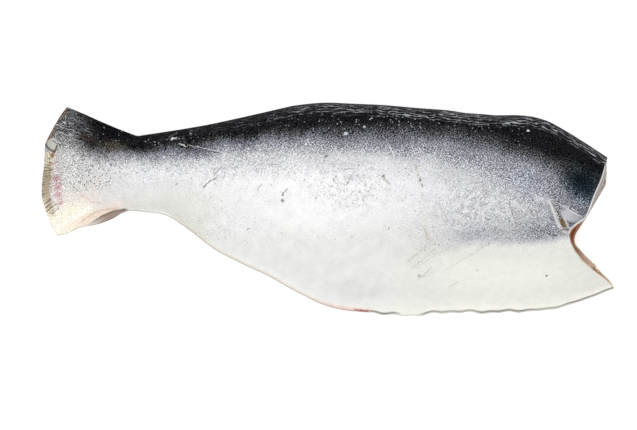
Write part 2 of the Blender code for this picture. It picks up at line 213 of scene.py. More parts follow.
SHOULDER_EDGE = (  # (X, Y) in mm: the fairly sharp line between the grey shoulder and the white belly
    (20, -45), (40, -37), (78, -31), (106, -24.6), (127, -24.2), (148, -23.5), (162, -21), (171, -19),
    (200, -12),
)


# ------ curves and fields
def curve(stations, at):
    """A smooth curve through (position, value) stations that never overshoots them."""
    x, y = np.array(stations, float).T
    steps = np.diff(x)
    slopes = np.diff(y) / steps
    tangents = np.empty_like(y)
    tangents[0], tangents[-1] = slopes[0], slopes[-1]
    before, after = slopes[:-1], slopes[1:]
    long_after, long_before = 2 * steps[1:] + steps[:-1], steps[1:] + 2 * steps[:-1]
    turning = before * after <= 0
    safe_before, safe_after = np.where(turning, 1, before), np.where(turning, 1, after)
    mean = (long_after + long_before) / (long_after / safe_before + long_before / safe_after)
    tangents[1:-1] = np.where(turning, 0, mean)
    i = np.clip(np.searchsorted(x, at, side="right") - 1, 0, len(steps) - 1)
    h = steps[i]
    t = (at - x[i]) / h
    rise = y[i] + (y[i + 1] - y[i]) * t * t * (3 - 2 * t)
    return rise + h * t * (1 - t) * (tangents[i] * (1 - t) - tangents[i + 1] * t)


def fade(low, high, value):
    """0 at low and 1 at high, smooth between them and level past them."""
    t = np.clip((value - low) / (high - low), 0, 1)
    return t * t * (3 - 2 * t)


def blob(x, y, centre, radii, turn=0.0):
    """1 at the centre of a soft ellipse, fading to 0 around its radii. Lengths in mm, turn in degrees."""
    c, s = math.cos(math.radians(turn)), math.sin(math.radians(turn))
    u = (x - centre[0]) * c + (y - centre[1]) * s
    v = (y - centre[1]) * c - (x - centre[0]) * s
    return np.exp(-1.4 * ((u / radii[0]) ** 2 + (v / radii[1]) ** 2) ** 1.5)


def patches(x, y, rows):
    """The sum of soft ellipses, each given by its strength, centre, radii and turn."""
    return sum(strength * blob(x, y, *ellipse) for strength, *ellipse in rows)


def bell(value, width):
    return np.exp(-((value / width) ** 2))


def off_segment(x, y, x0, y0, x1, y1):
    """Distance in mm beside a segment, with a sign for its side, and distance past its ends."""
    length = math.hypot(x1 - x0, y1 - y0)
    along = ((x - x0) * (x1 - x0) + (y - y0) * (y1 - y0)) / length
    beside = ((x - x0) * (y1 - y0) - (y - y0) * (x1 - x0)) / length
    return beside, np.maximum(np.maximum(-along, along - length), 0)


def line_distance(x, y, path):
    """Distance in mm to a path of points."""
    ends = zip(path, path[1:])
    return np.minimum.reduce([np.hypot(*off_segment(x, y, *start, *end)) for start, end in ends])


def stroke(x, y, path, width):
    """1 on a path, fading to 0 at width mm beside it."""
    return np.exp(-2.5 * (line_distance(x, y, path) / width) ** 2)


# ------ the fish's form
# along goes from 0 at the tail cut to 1 at the head cut, and across from 0 at the belly's edge to 1 at the
# back's edge. turn goes round a section: 0 at the upper lip, pi at the back and 2 pi at the lower lip.
def settled(z):
    """Heights, with what would lie below the table pressed flat."""
    pressed = np.where(z < SETTLE, (z + SETTLE) ** 2 / (4 * SETTLE), z)
    return np.where(z < -SETTLE, 0, pressed)


def bent_along(along, across, level):
    """The place along the fish once the slanted cuts have drawn in the ends of a section."""
    upper = curve(HEAD_CUT_UPPER_SIDE, across)
    lower = curve(HEAD_CUT_LOWER_SIDE, across)
    head_cut = lower + (upper - lower) * (level + 1) / 2
    near_head = fade(HEAD_CUT_FROM, 1, along)
    near_tail = 1 - fade(0, TAIL_CUT_REACH, along)
    return along + near_head * (head_cut - 1) + near_tail * curve(TAIL_CUT, across)


def side_heights(along, across):
    """Height of the middle plane and half the fish's thickness there, in metres."""
    widest = curve(WIDEST_AT, along)
    to_back = np.clip((across - widest) / (1 - widest), 0, 1)
    to_belly = np.clip((widest - across) / widest, 0, 1)
    back = np.sqrt(1 - to_back ** curve(BACK_ROUNDNESS, along))
    belly = (1 - to_belly ** curve(BELLY_ROUNDNESS, along)) ** curve(BELLY_TAPER, along)
    half = THICKNESS / 2 * curve(HALF_WIDTH, along) * back * belly
    strip = RAY_STRIP / LENGTH
    half = half * (1 - (1 - RAY_STRIP_THICKNESS) * (1 - fade(strip, 1.25 * strip, along)))
    keel = curve(KEEL, along) * np.clip(1 - across / 0.3, 0, 1) ** 2
    low, high = curve(BELLY_HEIGHT, along), curve(BACK_HEIGHT, along)
    middle = low + (high - low) * fade(0, 0.65, across)
    return middle, np.hypot(half, keel)


def edge_waves(along):
    puckered = fade(0.52, 0.60, along) * (1 - 0.7 * fade(0.80, 0.92, along))
    waves = sum(np.sin(2 * math.pi * along / length + shift) for length, shift in LIP_WAVES)
    return LIP_WAVE_HEIGHT * waves * puckered


def outline(along, across):
    back, belly = curve(BACK_LINE, along), curve(BELLY_LINE, along)
    edge = edge_waves(along) * np.clip(1 - across / 0.08, 0, 1) ** 2
    return (belly + across * (back - belly) - 0.5) * DEPTH + edge


def skin_level(turn):
    """1 on the upper flank and -1 on the lower, meeting over the back's and the belly's edge."""
    return np.where(turn < math.pi, 1.0, -1.0) * np.clip(3 * np.abs(np.sin(turn)), 0, 1)


def climb(turn):
    """How far from the belly's edge to the back's edge a turn round the section has come."""
    return (1 - np.cos(turn)) / 2


def spaced(place, y, z):
    return np.stack([(place - 0.5) * LENGTH, y, z], -1)


def flank_points(along, turn):
    """Points of the skin, without the marks on it."""
    across = climb(turn)
    place = bent_along(along, across, skin_level(turn))
    middle, half = side_heights(place, across)
    side = np.where(turn <= math.pi, 1, -1)
    return spaced(place, outline(place, across), settled(middle + side * half))


def slit_opening(along):
    return fade(VENT, VENT + 0.06, along)


def lip_points(along, share, side):
    """Points of a lip: share goes from the skin (0) to the slit's edge (1)."""
    along, share = np.broadcast_arrays(along, share)
    place = bent_along(along, 0 * share, side * (1 - 0.5 * share))
    middle, _ = side_heights(place, 0 * share)
    keel = curve(KEEL, place)
    opened = slit_opening(place)
    gap = SLIT_HALF_GAP * opened
    z = middle + side * (gap + (keel - gap) * np.cos(share * math.pi / 2))
    closed_bulge, open_bulge = np.sin(share * math.pi / 2), np.sin(share * math.pi)
    y = outline(place, 0 * share) - LIP_BULGE * (closed_bulge + (open_bulge - closed_bulge) * opened)
    return spaced(place, y, settled(z))


def lining_level(turn):
    return np.where(turn <= math.pi, 1, -1) * (0.5 + 0.2 * climb(turn)) * np.sqrt(1 - climb(turn) ** 4)


def lining_points(along, turn):
    """Points of the empty belly's wall."""
    along, turn = np.broadcast_arrays(along, turn)
    roof = np.maximum(curve(ROOF, along), 1e-4)
    across = roof * climb(turn)
    side = np.where(turn <= math.pi, 1, -1)
    closing = np.sqrt(1 - climb(turn) ** 4)
    place = bent_along(along, across, lining_level(turn))
    middle, half = side_heights(place, across)
    keel = curve(KEEL, place)
    slit = SLIT_HALF_GAP * slit_opening(place)
    lip = keel - slit
    wall = lip + (WALL - lip) * fade(0, 0.22, across)
    upper, lower = settled(middle + half) - wall, settled(middle - half) + wall
    gap = np.maximum((upper - lower) / 2, slit) * closing
    y = outline(place, across) - LIP_BULGE * (1 - slit_opening(place)) * (1 - climb(turn))
    return spaced(place, y, (upper + lower) / 2 + side * gap)


def head_cut_points(turn, share):
    """Points of the head cut: share goes from the skin's edge (0) to the belly lining's edge (1)."""
    turn, share = np.broadcast_arrays(turn, share)
    end = np.ones_like(turn)
    skin_height, lining_height = flank_points(end, turn)[..., 2], lining_points(end, turn)[..., 2]
    across = climb(turn) * (1 + (ROOF[-1][1] - 1) * share)
    place = bent_along(end, across, skin_level(turn) + (lining_level(turn) - skin_level(turn)) * share)
    x = (place - 0.5) * LENGTH + HEAD_CUT_SWELL * np.sin(share * math.pi)
    return np.stack([x, outline(place, across), skin_height + (lining_height - skin_height) * share], -1)


# ------ marks on the upper flank, in mm
FIN_CREASE = ((154.8, 5.3), (158.3, -1), (161.1, -6.3))
FIN_HOLE_CENTRE = (163.2, -10.1)
FIN_HOLE_RADII = (4.1, 1.4)
FIN_HOLE_TURN = -64
FIN_FOLD = ((153.8, 4.6), (156.2, -2.4), (158.6, -8.8), (161.1, -13.3), (163.9, -16.1), (167.4, -17.5))
FIN_FOLD_FAR_SIDE = ((163.6, -6.2), (165.3, -9.5), (167.1, -13.7))
SHOULDER_FOLD = ((160.4, 3.5), (164.6, 0.7), (168.8, -1.8), (173, -4.2), (176.5, -6))
NOTCH_FOLD = ((168.4, -14), (171.2, -11.5), (174, -9.4), (177, -7.2))
SMOOTH_SHOULDER_CENTRE = (168.1, -4.8)
SMOOTH_FOLDS = (  # path and width of the folds that stay free of speckle
    (FIN_FOLD, 2.4), (FIN_FOLD_FAR_SIDE, 2.0), (SHOULDER_FOLD, 1.0), (NOTCH_FOLD, 1.6),
)
TAIL_FLAP = ((-197.8, 45.2), (-195.7, 42.1), (-193.5, 40.8), (-191.3, 39.6), (-189.6, 44.5))
TAIL_FLAP_CENTRE = (-192.7, 45.4)
FLANK_CREASE = ((60.6, 31), (62.2, 24.8), (64, 18.6))
SKIN_FLECK = ((38.5, 22.8), (39.2, 20.3), (42.7, 17.2))
LONG_SCAR = ((-91.4, 44.4), (-84, 41.6), (-76.5, 39), (-73.5, 40.2), (-68, 36.8), (-61.6, 34.2))
LINE_REACH = 2.5  # vertices farther from every thin line than this hold no line
FAR_OFF = 9.0  # what they hold as their distance, in half widths
PALE_LINES = (  # from X, Y to X, Y, half width, strength; in mm
    # The first row is a painted highlight: a glint on the dark back.
    (-109.2, 48.2, -106.6, 49.2, 0.9, 0.9), (-103.2, 45, -99, 43.6, 0.5, 0.6),
    (-96.4, 44.2, -91, 42.6, 0.4, 0.45), (-91, 43.4, -84.4, 41.4, 0.4, 0.6),
    (-84.4, 41.4, -76, 39.8, 0.35, 0.4), (-73.5, 39.8, -68, 36.8, 0.5, 0.5),
    (-68, 36.8, -61.6, 34.2, 0.5, 0.35), (42.7, 43.4, 46.2, 36.4, 0.5, 0.6),
    (22, 40.6, 30, 36.4, 1.4, 0.3), (164, 2.2, 166.8, 0.6, 0.5, 0.6),
    (169.6, -0.4, 173.2, -2.4, 0.5, 0.6),
)
DARK_LINES = (
    (-88, 41.6, -76.5, 39, 0.55, 0.8), (-86.5, 14.7, -82.6, 18.9, 0.5, 0.65),
    (-82.6, 18.9, -77.4, 21.3, 0.5, 0.65), (-78.7, 23.7, -76.3, 27, 0.5, 0.6),
    (-73, 20.6, -71.4, 23.7, 0.4, 0.4), (-49, 13, -46.2, 16.7, 0.45, 0.5),
    (-31.2, 10.2, -28.4, 13.2, 0.45, 0.6), (-36.7, 25, -27.5, 29.4, 0.4, 0.3),
    (11.9, 26.9, 18.9, 28, 0.45, 0.5), (4, 19.9, 6.6, 16.4, 0.5, 0.5),
    (13.3, 16.4, 15.4, 21.3, 0.45, 0.5), (159.8, 4.6, 163.2, 2.6, 0.5, 0.8),
    (164.4, 2, 168, -0.2, 0.5, 0.7), (169.4, -1, 173.6, -3.2, 0.5, 0.6),
    (169.6, -14.6, 175.2, -10, 0.5, 0.85), (105.7, 6, 110.6, 11.9, 0.4, 0.55),
    (125.6, 2.4, 130.9, -10.8, 0.4, 0.5), (138.6, 1.4, 142.1, -3.8, 0.4, 0.5),
    (109.2, -6, 113, -8, 0.5, 0.6), (-192.6, 47.3, -187.3, 44.7, 0.5, 0.85),
    (-198.7, 3.6, -194.3, 6.6, 0.45, 0.8), (-196.1, -0.8, -189.5, 3.3, 0.45, 0.85),
    (-193.5, -3.4, -188.8, 0.1, 0.45, 0.85), (-196.8, 1.6, -193, 4.4, 0.4, 0.6),
    (-178, 15, -175.5, 12.6, 0.4, 0.4), (-200.2, 26.3, -193, 27.4, 0.45, 0.75),
    (-199.2, 22.2, -195.6, 22.8, 0.4, 0.6), (-31.7, 10, -30.8, 10.5, 0.9, 0.9),
    (-31.7, 5, -30.9, 5.4, 0.8, 0.85), (-1.4, 36.2, -0.7, 36.7, 0.75, 0.85),
    (-8.3, 7.3, -7.8, 7.6, 0.6, 0.7), (-55.6, -14.4, -55.1, -14.2, 0.6, 0.7),
    (152.7, -47.1, 153.2, -46.8, 0.75, 0.9), (-98.3, 24.9, -97.8, 25.1, 0.5, 0.6),
    (-105.7, 17.3, -105.2, 17.6, 0.55, 0.7), (-112.3, 28, -111.8, 28.2, 0.5, 0.5),
    (38.2, 22.3, 38.7, 23, 0.8, 0.8), (63.7, 20.8, 64.4, 19.6, 0.6, 0.8),
    (65.2, 16.6, 65.6, 15.4, 0.6, 0.7), (55.3, -36.8, 72.8, -21.4, 0.4, 0.2),
    (54, -38.6, 64, -31, 0.4, 0.2), (58.8, -41.7, 74.2, -28.4, 0.4, 0.22),
    (57, -37.5, 69, -26.5, 0.35, 0.18), (62, -41.6, 77, -30.6, 0.35, 0.18),
    (63.7, -49.4, 72.1, -41.3, 0.4, 0.32), (66.5, -47.8, 74, -44.6, 0.35, 0.22),
    (81.9, -43.1, 110.6, -25.6, 0.4, 0.17), (86.1, -54.3, 90.3, -51.5, 0.4, 0.36),
    (63.4, -46.9, 63.9, -46.6, 0.55, 0.6), (66.2, -37.8, 66.6, -37.5, 0.5, 0.6),
    (104, -43.4, 104.4, -43.1, 0.6, 0.5),
)


def ripples(x, y, seed, length, stretch=(1.0, 1.0)):
    """Random waves between about -1 and 1, of the length given in mm."""
    random = np.random.default_rng(seed)
    total = 0
    for _ in range(8):
        angle, phase = random.uniform(0, 2 * math.pi, 2)
        size = length * random.uniform(0.6, 1.7)
        way = x * math.cos(angle) / stretch[0] + y * math.sin(angle) / stretch[1]
        total = total + np.sin(2 * math.pi * way / size + phase)
    return total / 3


RELIEF_STROKES = (  # path, width and height in mm
    (FIN_CREASE, 0.8, -0.7), (FIN_FOLD, 2.2, 0.85), (FIN_FOLD_FAR_SIDE, 1.4, 0.5),
    (SHOULDER_FOLD, 1.1, 0.45), (TAIL_FLAP, 1.2, 0.5), (FLANK_CREASE, 1.4, -0.2), (LONG_SCAR, 1.0, 0.2),
)


def relief(x, y):
    """Height in mm that the marks add to the upper flank."""
    height = -3.6 * blob(x, y, FIN_HOLE_CENTRE, FIN_HOLE_RADII, FIN_HOLE_TURN)
    height += 0.35 * blob(x, y, TAIL_FLAP_CENTRE, (4, 3))
    for path, width, raised in RELIEF_STROKES:
        height += raised * stroke(x, y, path, width)
    height += 0.15 * stroke(x + 1.6, y, FLANK_CREASE, 1.6)
    height += 0.11 * ripples(x, y, 5, 11, (0.8, 1.6)) * blob(x, y, (-70, 20), (62, 24), -12)
    height += 0.09 * ripples(x, y, 6, 7, (1.0, 1.4)) * blob(x, y, (110, 5), (52, 30))
    edge = fade(-40, -62, y) * fade(-10, 30, x)
    return height + 0.12 * ripples(x, y, 7, 16, (1.0, 0.5)) * edge


# ------ painting the skin
def linear(tone):
    """sRGB tone to linear light."""
    tone = np.clip(np.asarray(tone, float), 0, 1)
    return np.where(tone <= 0.04045, tone / 12.92, ((tone + 0.055) / 1.055) ** 2.4)


def rgb(r, g, b):
    return np.array((r, g, b)) / 255


def mixed(colour, other, share):
    return colour + (other - colour) * share[..., None]


def shifted(colour, share, change):
    return colour + share[..., None] * np.array(change)


def skin_tone(x, y):
    """Tone from black to white of the pigmented skin, before its speckle."""
    fringe = 0.6 * ripples(x, y, 1, 9, (0.8, 1.8)) + 1.3 * ripples(x, y, 2, 26) + 0.5 * ripples(x, y, 3, 4)
    depth = y + fringe * fade(-200, -170, x)
    lines = [curve(line, x) for line in (BLACK_ENDS, HALF_GREY, GREY_ENDS, PALEST)]
    back, grey, flank = [curve(tones, x) for tones in (BACK_TONE, GREY_TONE, FLANK_TONE)]
    tones = back, np.minimum(0.5, grey * 0.8 + 0.05), grey, flank
    tone = back + 0 * y
    for above, below, dark, pale in zip(lines, lines[1:], tones, tones[1:]):
        tone = tone + (pale - dark) * np.clip((above - depth) / (above - below), 0, 1)
    shoulder_edge = curve(SHOULDER_EDGE, x)
    front = fade(30, 95, x)
    below = fade(-3.8, 3.8, shoulder_edge - y + 0.6 * ripples(x, y, 4, 9))
    band = bell(y - shoulder_edge - 7, 6 + 0.05 * (x - 100)) * (1 - below)
    tone = tone - band * (0.07 * fade(85, 110, x) + 0.05 * fade(125, 148, x))
    tone = tone + (BELLY_TONE - tone) * below * front
    tone = tone + (BELLY_TONE - tone) * fade(-8, -40, y) * (1 - front)
    tone = tone + patches(x, y, TONE_PATCHES)
    across_ribs = math.sin(RIB_TURN) * x - math.cos(RIB_TURN) * y
    ribs = np.sin(2 * math.pi * (across_ribs + 1.2 * ripples(x, y, 16, 16)) / RIB_SPACING)
    tone = tone + RIB_CONTRAST * ribs * patches(x, y, RIBBED)
    clouds = 0.008 * ripples(x, y, 8, 13) * fade(0.25, 0.6, tone)
    clouds = clouds + 0.028 * ripples(x, y, 15, 8) * fade(130, 160, x) * fade(0.08, 0.25, tone)
    return tone + clouds * (1 - below * front)


def tail_flap(x, y):
    return fade(0.3, 0.6, blob(x, y, TAIL_FLAP_CENTRE, (4.8, 4.4), -30))


def smooth_shoulder(x, y):
    return fade(0.25, 0.7, blob(x, y, SMOOTH_SHOULDER_CENTRE, (9.0, 4.8), -24))


def painted_skin(x, y, edge):
    """sRGB colour of the skin at (x, y) in mm. edge is the distance in mm from the head cut."""
    tone = skin_tone(x, y)
    blue = bell(tone - 0.5, 0.27) * fade(-190, -120, x)
    colour = shifted(tone[..., None], blue, (-0.010, -0.006, 0.024))
    warm_belly = fade(10, -40, y) * (0.4 + 0.6 * fade(0, 110, x))
    warm_tail = 0.8 * fade(16, 6, y) * fade(-60, -95, x)
    warm = np.maximum(warm_belly, warm_tail) * fade(0.8, 0.88, tone)
    colour = mixed(colour, tone[..., None] * np.array((1.002, 1.004, 0.970)), warm)
    colour = shifted(colour, patches(x, y, TEAL_SHOULDER), (-0.03, 0.02, 0.05))
    colour = shifted(colour, patches(x, y, BLUISH_SKIN), (-0.010, -0.001, 0.014))
    colour = painted_belly_edge(colour, x, y)
    return painted_shoulder(painted_tail(colour, x, y), x, y, edge)


def painted_belly_edge(colour, x, y):
    """The trimmed anal fin, raw skin at the vent, and painted shade at the belly's edge and in the slit."""
    along = x * MM / LENGTH + 0.5
    from_edge = y - ((curve(BELLY_LINE, along) - 0.5) * DEPTH + edge_waves(along)) / MM
    anal_fin = fade(-118, -95, x) * (1 - fade(24, 32, x))
    vent = fade(-12, 10, x) * (1 - fade(27, 33, x)) * (0.8 + 0.35 * ripples(x, 0 * y, 18, 5))
    raw = fade(17, 21, x) * (1 - fade(29, 33, x))
    dashes = np.clip(0.75 + 0.4 * ripples(x, 0 * y, 14, 3), 0, 1)
    faint = fade(44, 54, x) * fade(70, 62, x)
    faint = faint + 0.35 * fade(-0.2, 0.8, ripples(x, 0 * y, 12, 40))
    for tint, share, centre, width in (
        ((226, 218, 210), 0.4 * anal_fin, 0, 2.6),
        ((178, 164, 140), 0.4 * anal_fin, 0, 1.1),
        # part cream tint, part painted shade: the belly's edge darkens where it turns under
        ((214, 214, 202), 0.6 * fade(20, 40, x), 0, 4.0),
        ((222, 176, 170), 0.6 * vent, 0, 1.7),
        ((120, 44, 42), dashes * raw, 0.1, 0.6),
        # painted shade: the dark line in the slit between the lips
        ((70, 66, 60), fade(29, 33, x) * np.clip(0.9 - faint, 0, 1), 0.1, 0.42),
    ):
        colour = mixed(colour, rgb(*tint), share * bell(from_edge - centre, width))
    return colour


def touched_up(colour, x, y, touches):
    """The colour with soft ellipses and strokes laid over it in turn."""
    for tint, strength, shape, *form in touches:
        colour = mixed(colour, rgb(*tint), strength * shape(x, y, *form))
    return colour


TAIL_FOLD = ((-172, -13.5), (-164.4, -9.4), (-158.4, -5.4), (-150.4, -1.9), (-141.5, -0.4))
TAIL_CREASE = ((-173, -9.5), (-164.5, -3.2), (-157, -0.9), (-147, 0.4))
TAIL_TINTS = (  # colour, strength, then the ellipse or the stroke in mm
    ((196, 182, 182), 0.7, blob, (-190, 22), (4.5, 21), 4),
    ((204, 206, 202), 0.6, blob, (-179, 24), (8, 18), 6),
)
CREAM_TAIL_MARKS = (
    ((240, 238, 230), 0.7, stroke, ((-190, -14), (-178, -7), (-167, 1)), 3.2),
    ((228, 208, 192), 0.9, blob, (-163, -5.2), (24, 4.4), 22),
    ((186, 164, 148), 0.6, stroke, TAIL_CREASE, 0.8),
    ((200, 156, 152), 0.4, stroke, ((-172, 9.3), (-165.9, 4.9), (-158.9, 4)), 1.1),
    ((42, 32, 28), 0.95, blob, (-168, 49.6), (7.5, 3.6), -16),
    ((70, 66, 54), 0.75, blob, (-151, 44.6), (12, 4.6), -6),
)
TAIL_BLOOD = (  # centre, radii, turn
    ((-189.6, 18.5), (2.8, 5.6), 15),
    ((-189.3, 11.5), (2.4, 4.4), 10),
    ((-187.6, 4.8), (2, 2.8), 5),
)
RAY_MARKS = (
    ((118, 68, 38), 0.9, blob, (-193, 37.6), (1.1, 2.5), -15),
    ((112, 68, 42), 0.9, blob, (-194.6, 31.6), (2.2, 1), 10),
    ((132, 116, 86), 0.6, blob, (-195.6, 21), (3.6, 1.7), 12),
    ((54, 42, 36), 0.95, stroke, TAIL_FLAP, 0.75),
)
SHOULDER_MARKS = (
    ((128, 129, 136), 0.8, blob, (163, 0.2), (2.6, 1.8)),
    ((196, 196, 196), 0.8, stroke, ((156, 2), (158.6, -4.5), (161.6, -12)), 2),
    ((222, 221, 219), 0.9, stroke, FIN_FOLD, 1.1),
    ((220, 218, 214), 0.9, stroke, FIN_FOLD_FAR_SIDE, 0.9),
    ((216, 216, 218), 0.8, stroke, SHOULDER_FOLD, 0.8),
    ((150, 146, 146), 0.7, blob, (167.8, -16.4), (1.8, 2.4)),
    ((224, 222, 220), 0.9, stroke, NOTCH_FOLD, 0.9),
    ((112, 98, 84), 0.8, stroke, FIN_CREASE, 0.7),
    ((104, 74, 54), 0.85, stroke, ((161.6, -14.7), (164.6, -15), (167.4, -14.2)), 0.6),
    ((150, 142, 118), 0.75, stroke, FLANK_CREASE, 0.7),
    ((190, 182, 160), 0.25, stroke, ((64, 18.6), (66.5, 10), (67.6, -13)), 0.8),
    ((176, 166, 140), 0.7, stroke, ((67.2, -14.4), (68.4, -17), (69.8, -21.2)), 0.9),
    ((126, 122, 104), 0.8, stroke, SKIN_FLECK, 0.8),
)


def painted_tail(colour, x, y):
    lower = fade(30, 4, y) * (1 - fade(-172, -134, x))
    colour = mixed(colour, rgb(222, 213, 206), 0.8 * lower)
    colour = touched_up(colour, x, y, TAIL_TINTS)
    cream = fade(7, -6, y - 0.25 * (x + 190)) * (1 - fade(-176, -156, x))
    colour = mixed(colour, rgb(235, 230, 212), 0.9 * cream)
    colour = touched_up(colour, x, y, CREAM_TAIL_MARKS)
    uneven = np.clip(0.38 + 0.304 * ripples(x, y, 9, 4), 0, 1)
    for ellipse in TAIL_BLOOD:
        colour = mixed(colour, rgb(176, 104, 110), uneven * blob(x, y, *ellipse))
    cut_edge = line_distance(x, y, ((-182.6, 71), (-196.5, 46)))
    colour = mixed(colour, rgb(112, 94, 82), 0.85 * fade(1.8, 0.6, cut_edge))
    # painted shade: the tail's lower edge turns under as a brown-grey wedge, darker towards the root, with
    # a dark line along the fold
    shaded_underside = fade(0.6, -0.4, y - np.interp(x, *np.transpose(TAIL_FOLD)))
    shaded_underside = shaded_underside * fade(-175, -162, x) * fade(-139, -142, x)
    shade = mixed(rgb(206, 200, 196), rgb(146, 128, 116), fade(-166, -154, x))
    colour = mixed(colour, shade, 0.9 * shaded_underside)
    fold_shade_line = stroke(x, y, TAIL_FOLD, 0.8) * fade(-170, -158, x)
    colour = mixed(colour, rgb(88, 72, 60), 0.9 * fold_shade_line)
    strip = fade(7.5, 4.5, x + 198.7) * fade(41, 38, y) * fade(20, 34, y)
    colour = mixed(colour, rgb(200, 188, 164), 0.8 * strip)
    colour = mixed(colour, rgb(186, 185, 177), 0.95 * tail_flap(x, y))
    return touched_up(colour, x, y, RAY_MARKS)


def painted_shoulder(colour, x, y, edge):
    bare = mixed(rgb(184, 184, 188), rgb(156, 157, 167), fade(165, 175, x))
    colour = touched_up(mixed(colour, bare, smooth_shoulder(x, y)), x, y, SHOULDER_MARKS)
    hole = blob(x, y, FIN_HOLE_CENTRE, FIN_HOLE_RADII, FIN_HOLE_TURN)
    colour = mixed(colour, rgb(150, 116, 56), fade(0.25, 0.55, hole))
    rim = fade(1.0, 0.5, edge) * fade(-26, -14, y) * fade(36, 30, y)
    return mixed(colour, rgb(226, 226, 222), 0.9 * rim)


# ------ meshes
def spread(parts):
    """Values through (from, to, count) parts, both ends included."""
    values = [np.linspace(low, high, count, endpoint=False) for low, high, count in parts]
    return np.append(np.concatenate(values), parts[-1][1])


def girth_turns():
    """Turns round a section: finer over the upper flank, which the camera sees, than under the fish."""
    upper = np.arccos(1 - 2 * spread(UPPER_GIRTH))
    lower = np.linspace(math.pi, 2 * math.pi, LOWER_GIRTH_POINTS + 1)[1:]
    notch = 2 * math.pi - np.arccos(1 - 2 * np.linspace(*LOWER_NOTCH))
    return np.concatenate([upper, np.sort(np.append(lower, notch))])


def grid_faces(index):
    """Quads between the rows and columns of a grid of vertex numbers."""
    corners = (index[:-1, :-1], index[:-1, 1:], index[1:, 1:], index[1:, :-1])
    return np.stack(corners, -1).reshape(-1, 4)


def numbered(shape, first=0):
    """A grid of vertex numbers."""
    return first + np.arange(math.prod(shape)).reshape(shape)


def put_in_scene(name, data):
    made = bpy.data.objects.new(name, data)
    bpy.context.scene.collection.objects.link(made)
    return made


def new_piece(name, points, faces, materials, material_index=0):
    data = bpy.data.meshes.new(name)
    data.from_pydata(points.tolist(), [], [list(face) for face in faces])
    for finish in materials:
        data.materials.append(finish)
    indices = np.broadcast_to(material_index, len(faces)).astype(np.int32)
    data.polygons.foreach_set("material_index", indices)
    data.shade_smooth()
    data.update()
    return put_in_scene(name, data)


def ring_piece(name, points, finish):
    """A piece whose rows of points are closed rings."""
    index = numbered(points.shape[:2])
    faces = grid_faces(np.concatenate([index, index[:, :1]], 1))
    return new_piece(name, points.reshape(-1, 3), faces, [finish])


def add_values(piece, name, values):
    """Stores one number, or one colour, for each vertex."""
    values = values.reshape(len(piece.data.vertices), -1)
    if values.shape[1] == 1:
        layer = piece.data.attributes.new(name, "FLOAT", "POINT")
        layer.data.foreach_set("value", values.astype(np.float32).ravel())
    else:
        layer = piece.data.attributes.new(name, "FLOAT_COLOR", "POINT")
        opaque = np.concatenate([values, np.ones((len(values), 1))], 1)
        layer.data.foreach_set("color", opaque.astype(np.float32).ravel())


def dress(piece):
    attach(piece, "root")
    return piece


def skin_grid(places, turns):
    """Points of the skin and both lips, as (rows, columns, 3), from slit edge to slit edge."""
    flank = flank_points(places[:, None], turns[None, :])
    x, y = flank[..., 0] / MM, flank[..., 1] / MM
    across = climb(turns)
    upper = (turns < math.pi) * fade(0, 0.04, across) * fade(1, 0.93, across)
    flank[..., 2] += relief(x, y) * upper * MM
    shares = np.linspace(0, 1, LIP_POINTS + 1)[1:]
    upper_lip = lip_points(places[:, None], shares[None, :], 1)[:, ::-1]
    lower_lip = lip_points(places[:, None], shares[None, :], -1)
    return np.concatenate([upper_lip, flank, lower_lip], 1)


def texture_masks(x, y, from_tail_cut, from_head_cut, under_back):
    """How strongly each fine texture of the skin shows, and where highlights are painted, for every vertex.
    """
    tone = skin_tone(x, y)
    back = (curve(BACK_LINE, x * MM / LENGTH + 0.5) - 0.5) * DEPTH / MM
    plain = np.maximum(smooth_shoulder(x, y), tail_flap(x, y))
    for fold, width in SMOOTH_FOLDS:
        plain = np.maximum(plain, stroke(x, y, fold, width))
    plain = np.maximum(plain, fade(1.6, 0.9, from_head_cut))
    bare_tail = fade(15, 5, y - 0.1 * (x + 190)) * fade(-85, -105, x)
    dotted = (1 - plain) * (1 - bare_tail)
    flank = fade(-14, -2, y - np.where(x > 60, curve(SHOULDER_EDGE, x), -16))
    calm = fade(-40, 40, x) * fade(0.62, 0.74, tone)
    greys = flank * fade(0.95, 0.80, tone) * fade(0.3, 0.5, tone) * (1 - 0.7 * calm)
    pepper = patches(x, y, PEPPERED) + 0.45 * greys
    freckles = flank * fade(0.95, 0.88, tone) * fade(0.5, 0.7, tone)
    # the band along the back's edge where painted highlights on its creases show
    ridge = fade(9.0, 6.0, back - y + 0.8 * ripples(x, 0 * y, 17, 11))
    ridge *= 0.15 * fade(-150, -100, x) + 0.85 * fade(-50, 5, x)
    # painted sparkles of light on the black, strongest along the ridge and at the tail's root
    sparkle = 0.35 + patches(x, y, BRIGHT_RIDGE)
    sparkle *= fade(0.34, 0.18, tone) * fade(-176, -160, x) * fade(150, 130, x)
    speckle = np.clip(4 * np.clip(1 - tone, 0, 1) ** 1.5, 0.06, 1)
    speckle *= 1 + 0.8 * fade(0.48, 0.28, tone)
    speckle *= 1 - 0.35 * calm * (1 - blob(x, y, (118, 2), (44, 22), 6))
    speckle *= 1 - 0.2 * fade(-105, -145, x) * fade(50, 42, y)
    speckle += patches(x, y, SPECKLED) + 0.9 * stroke(x, y, ((176, 6), (184, -1)), 3.0)
    hatch = patches(x, y, HATCHED)
    return {
        "speckle": speckle * (0.2 + 0.8 * flank) * (1 - 0.95 * plain) * (1 - 0.5 * bare_tail),
        "pepper": np.clip(pepper, 0, 1) * dotted,
        "freckles": freckles * dotted,
        # the next three masks mark where highlights are painted: glints on the back and tail, and sparkles
        "glints": ridge * fade(6.0, -14.0, under_back),
        "tail_crease_glints": patches(x, y, GLINTING_TAIL) * (1 - blob(x, y, (-168, 49.6), (8, 4), -16)),
        "sparkle": np.clip(np.maximum(sparkle, patches(x, y, BRIGHT_TAIL_ROOT)), 0, 1),
        "worms": np.clip(patches(x, y, WRINKLED) + 0.4 * hatch, 0, 1),
        "hatch": hatch,
        "rays": fade(7.0, 4.2, from_tail_cut) * fade(34, 29, y) * fade(-7, -1, y),
    }


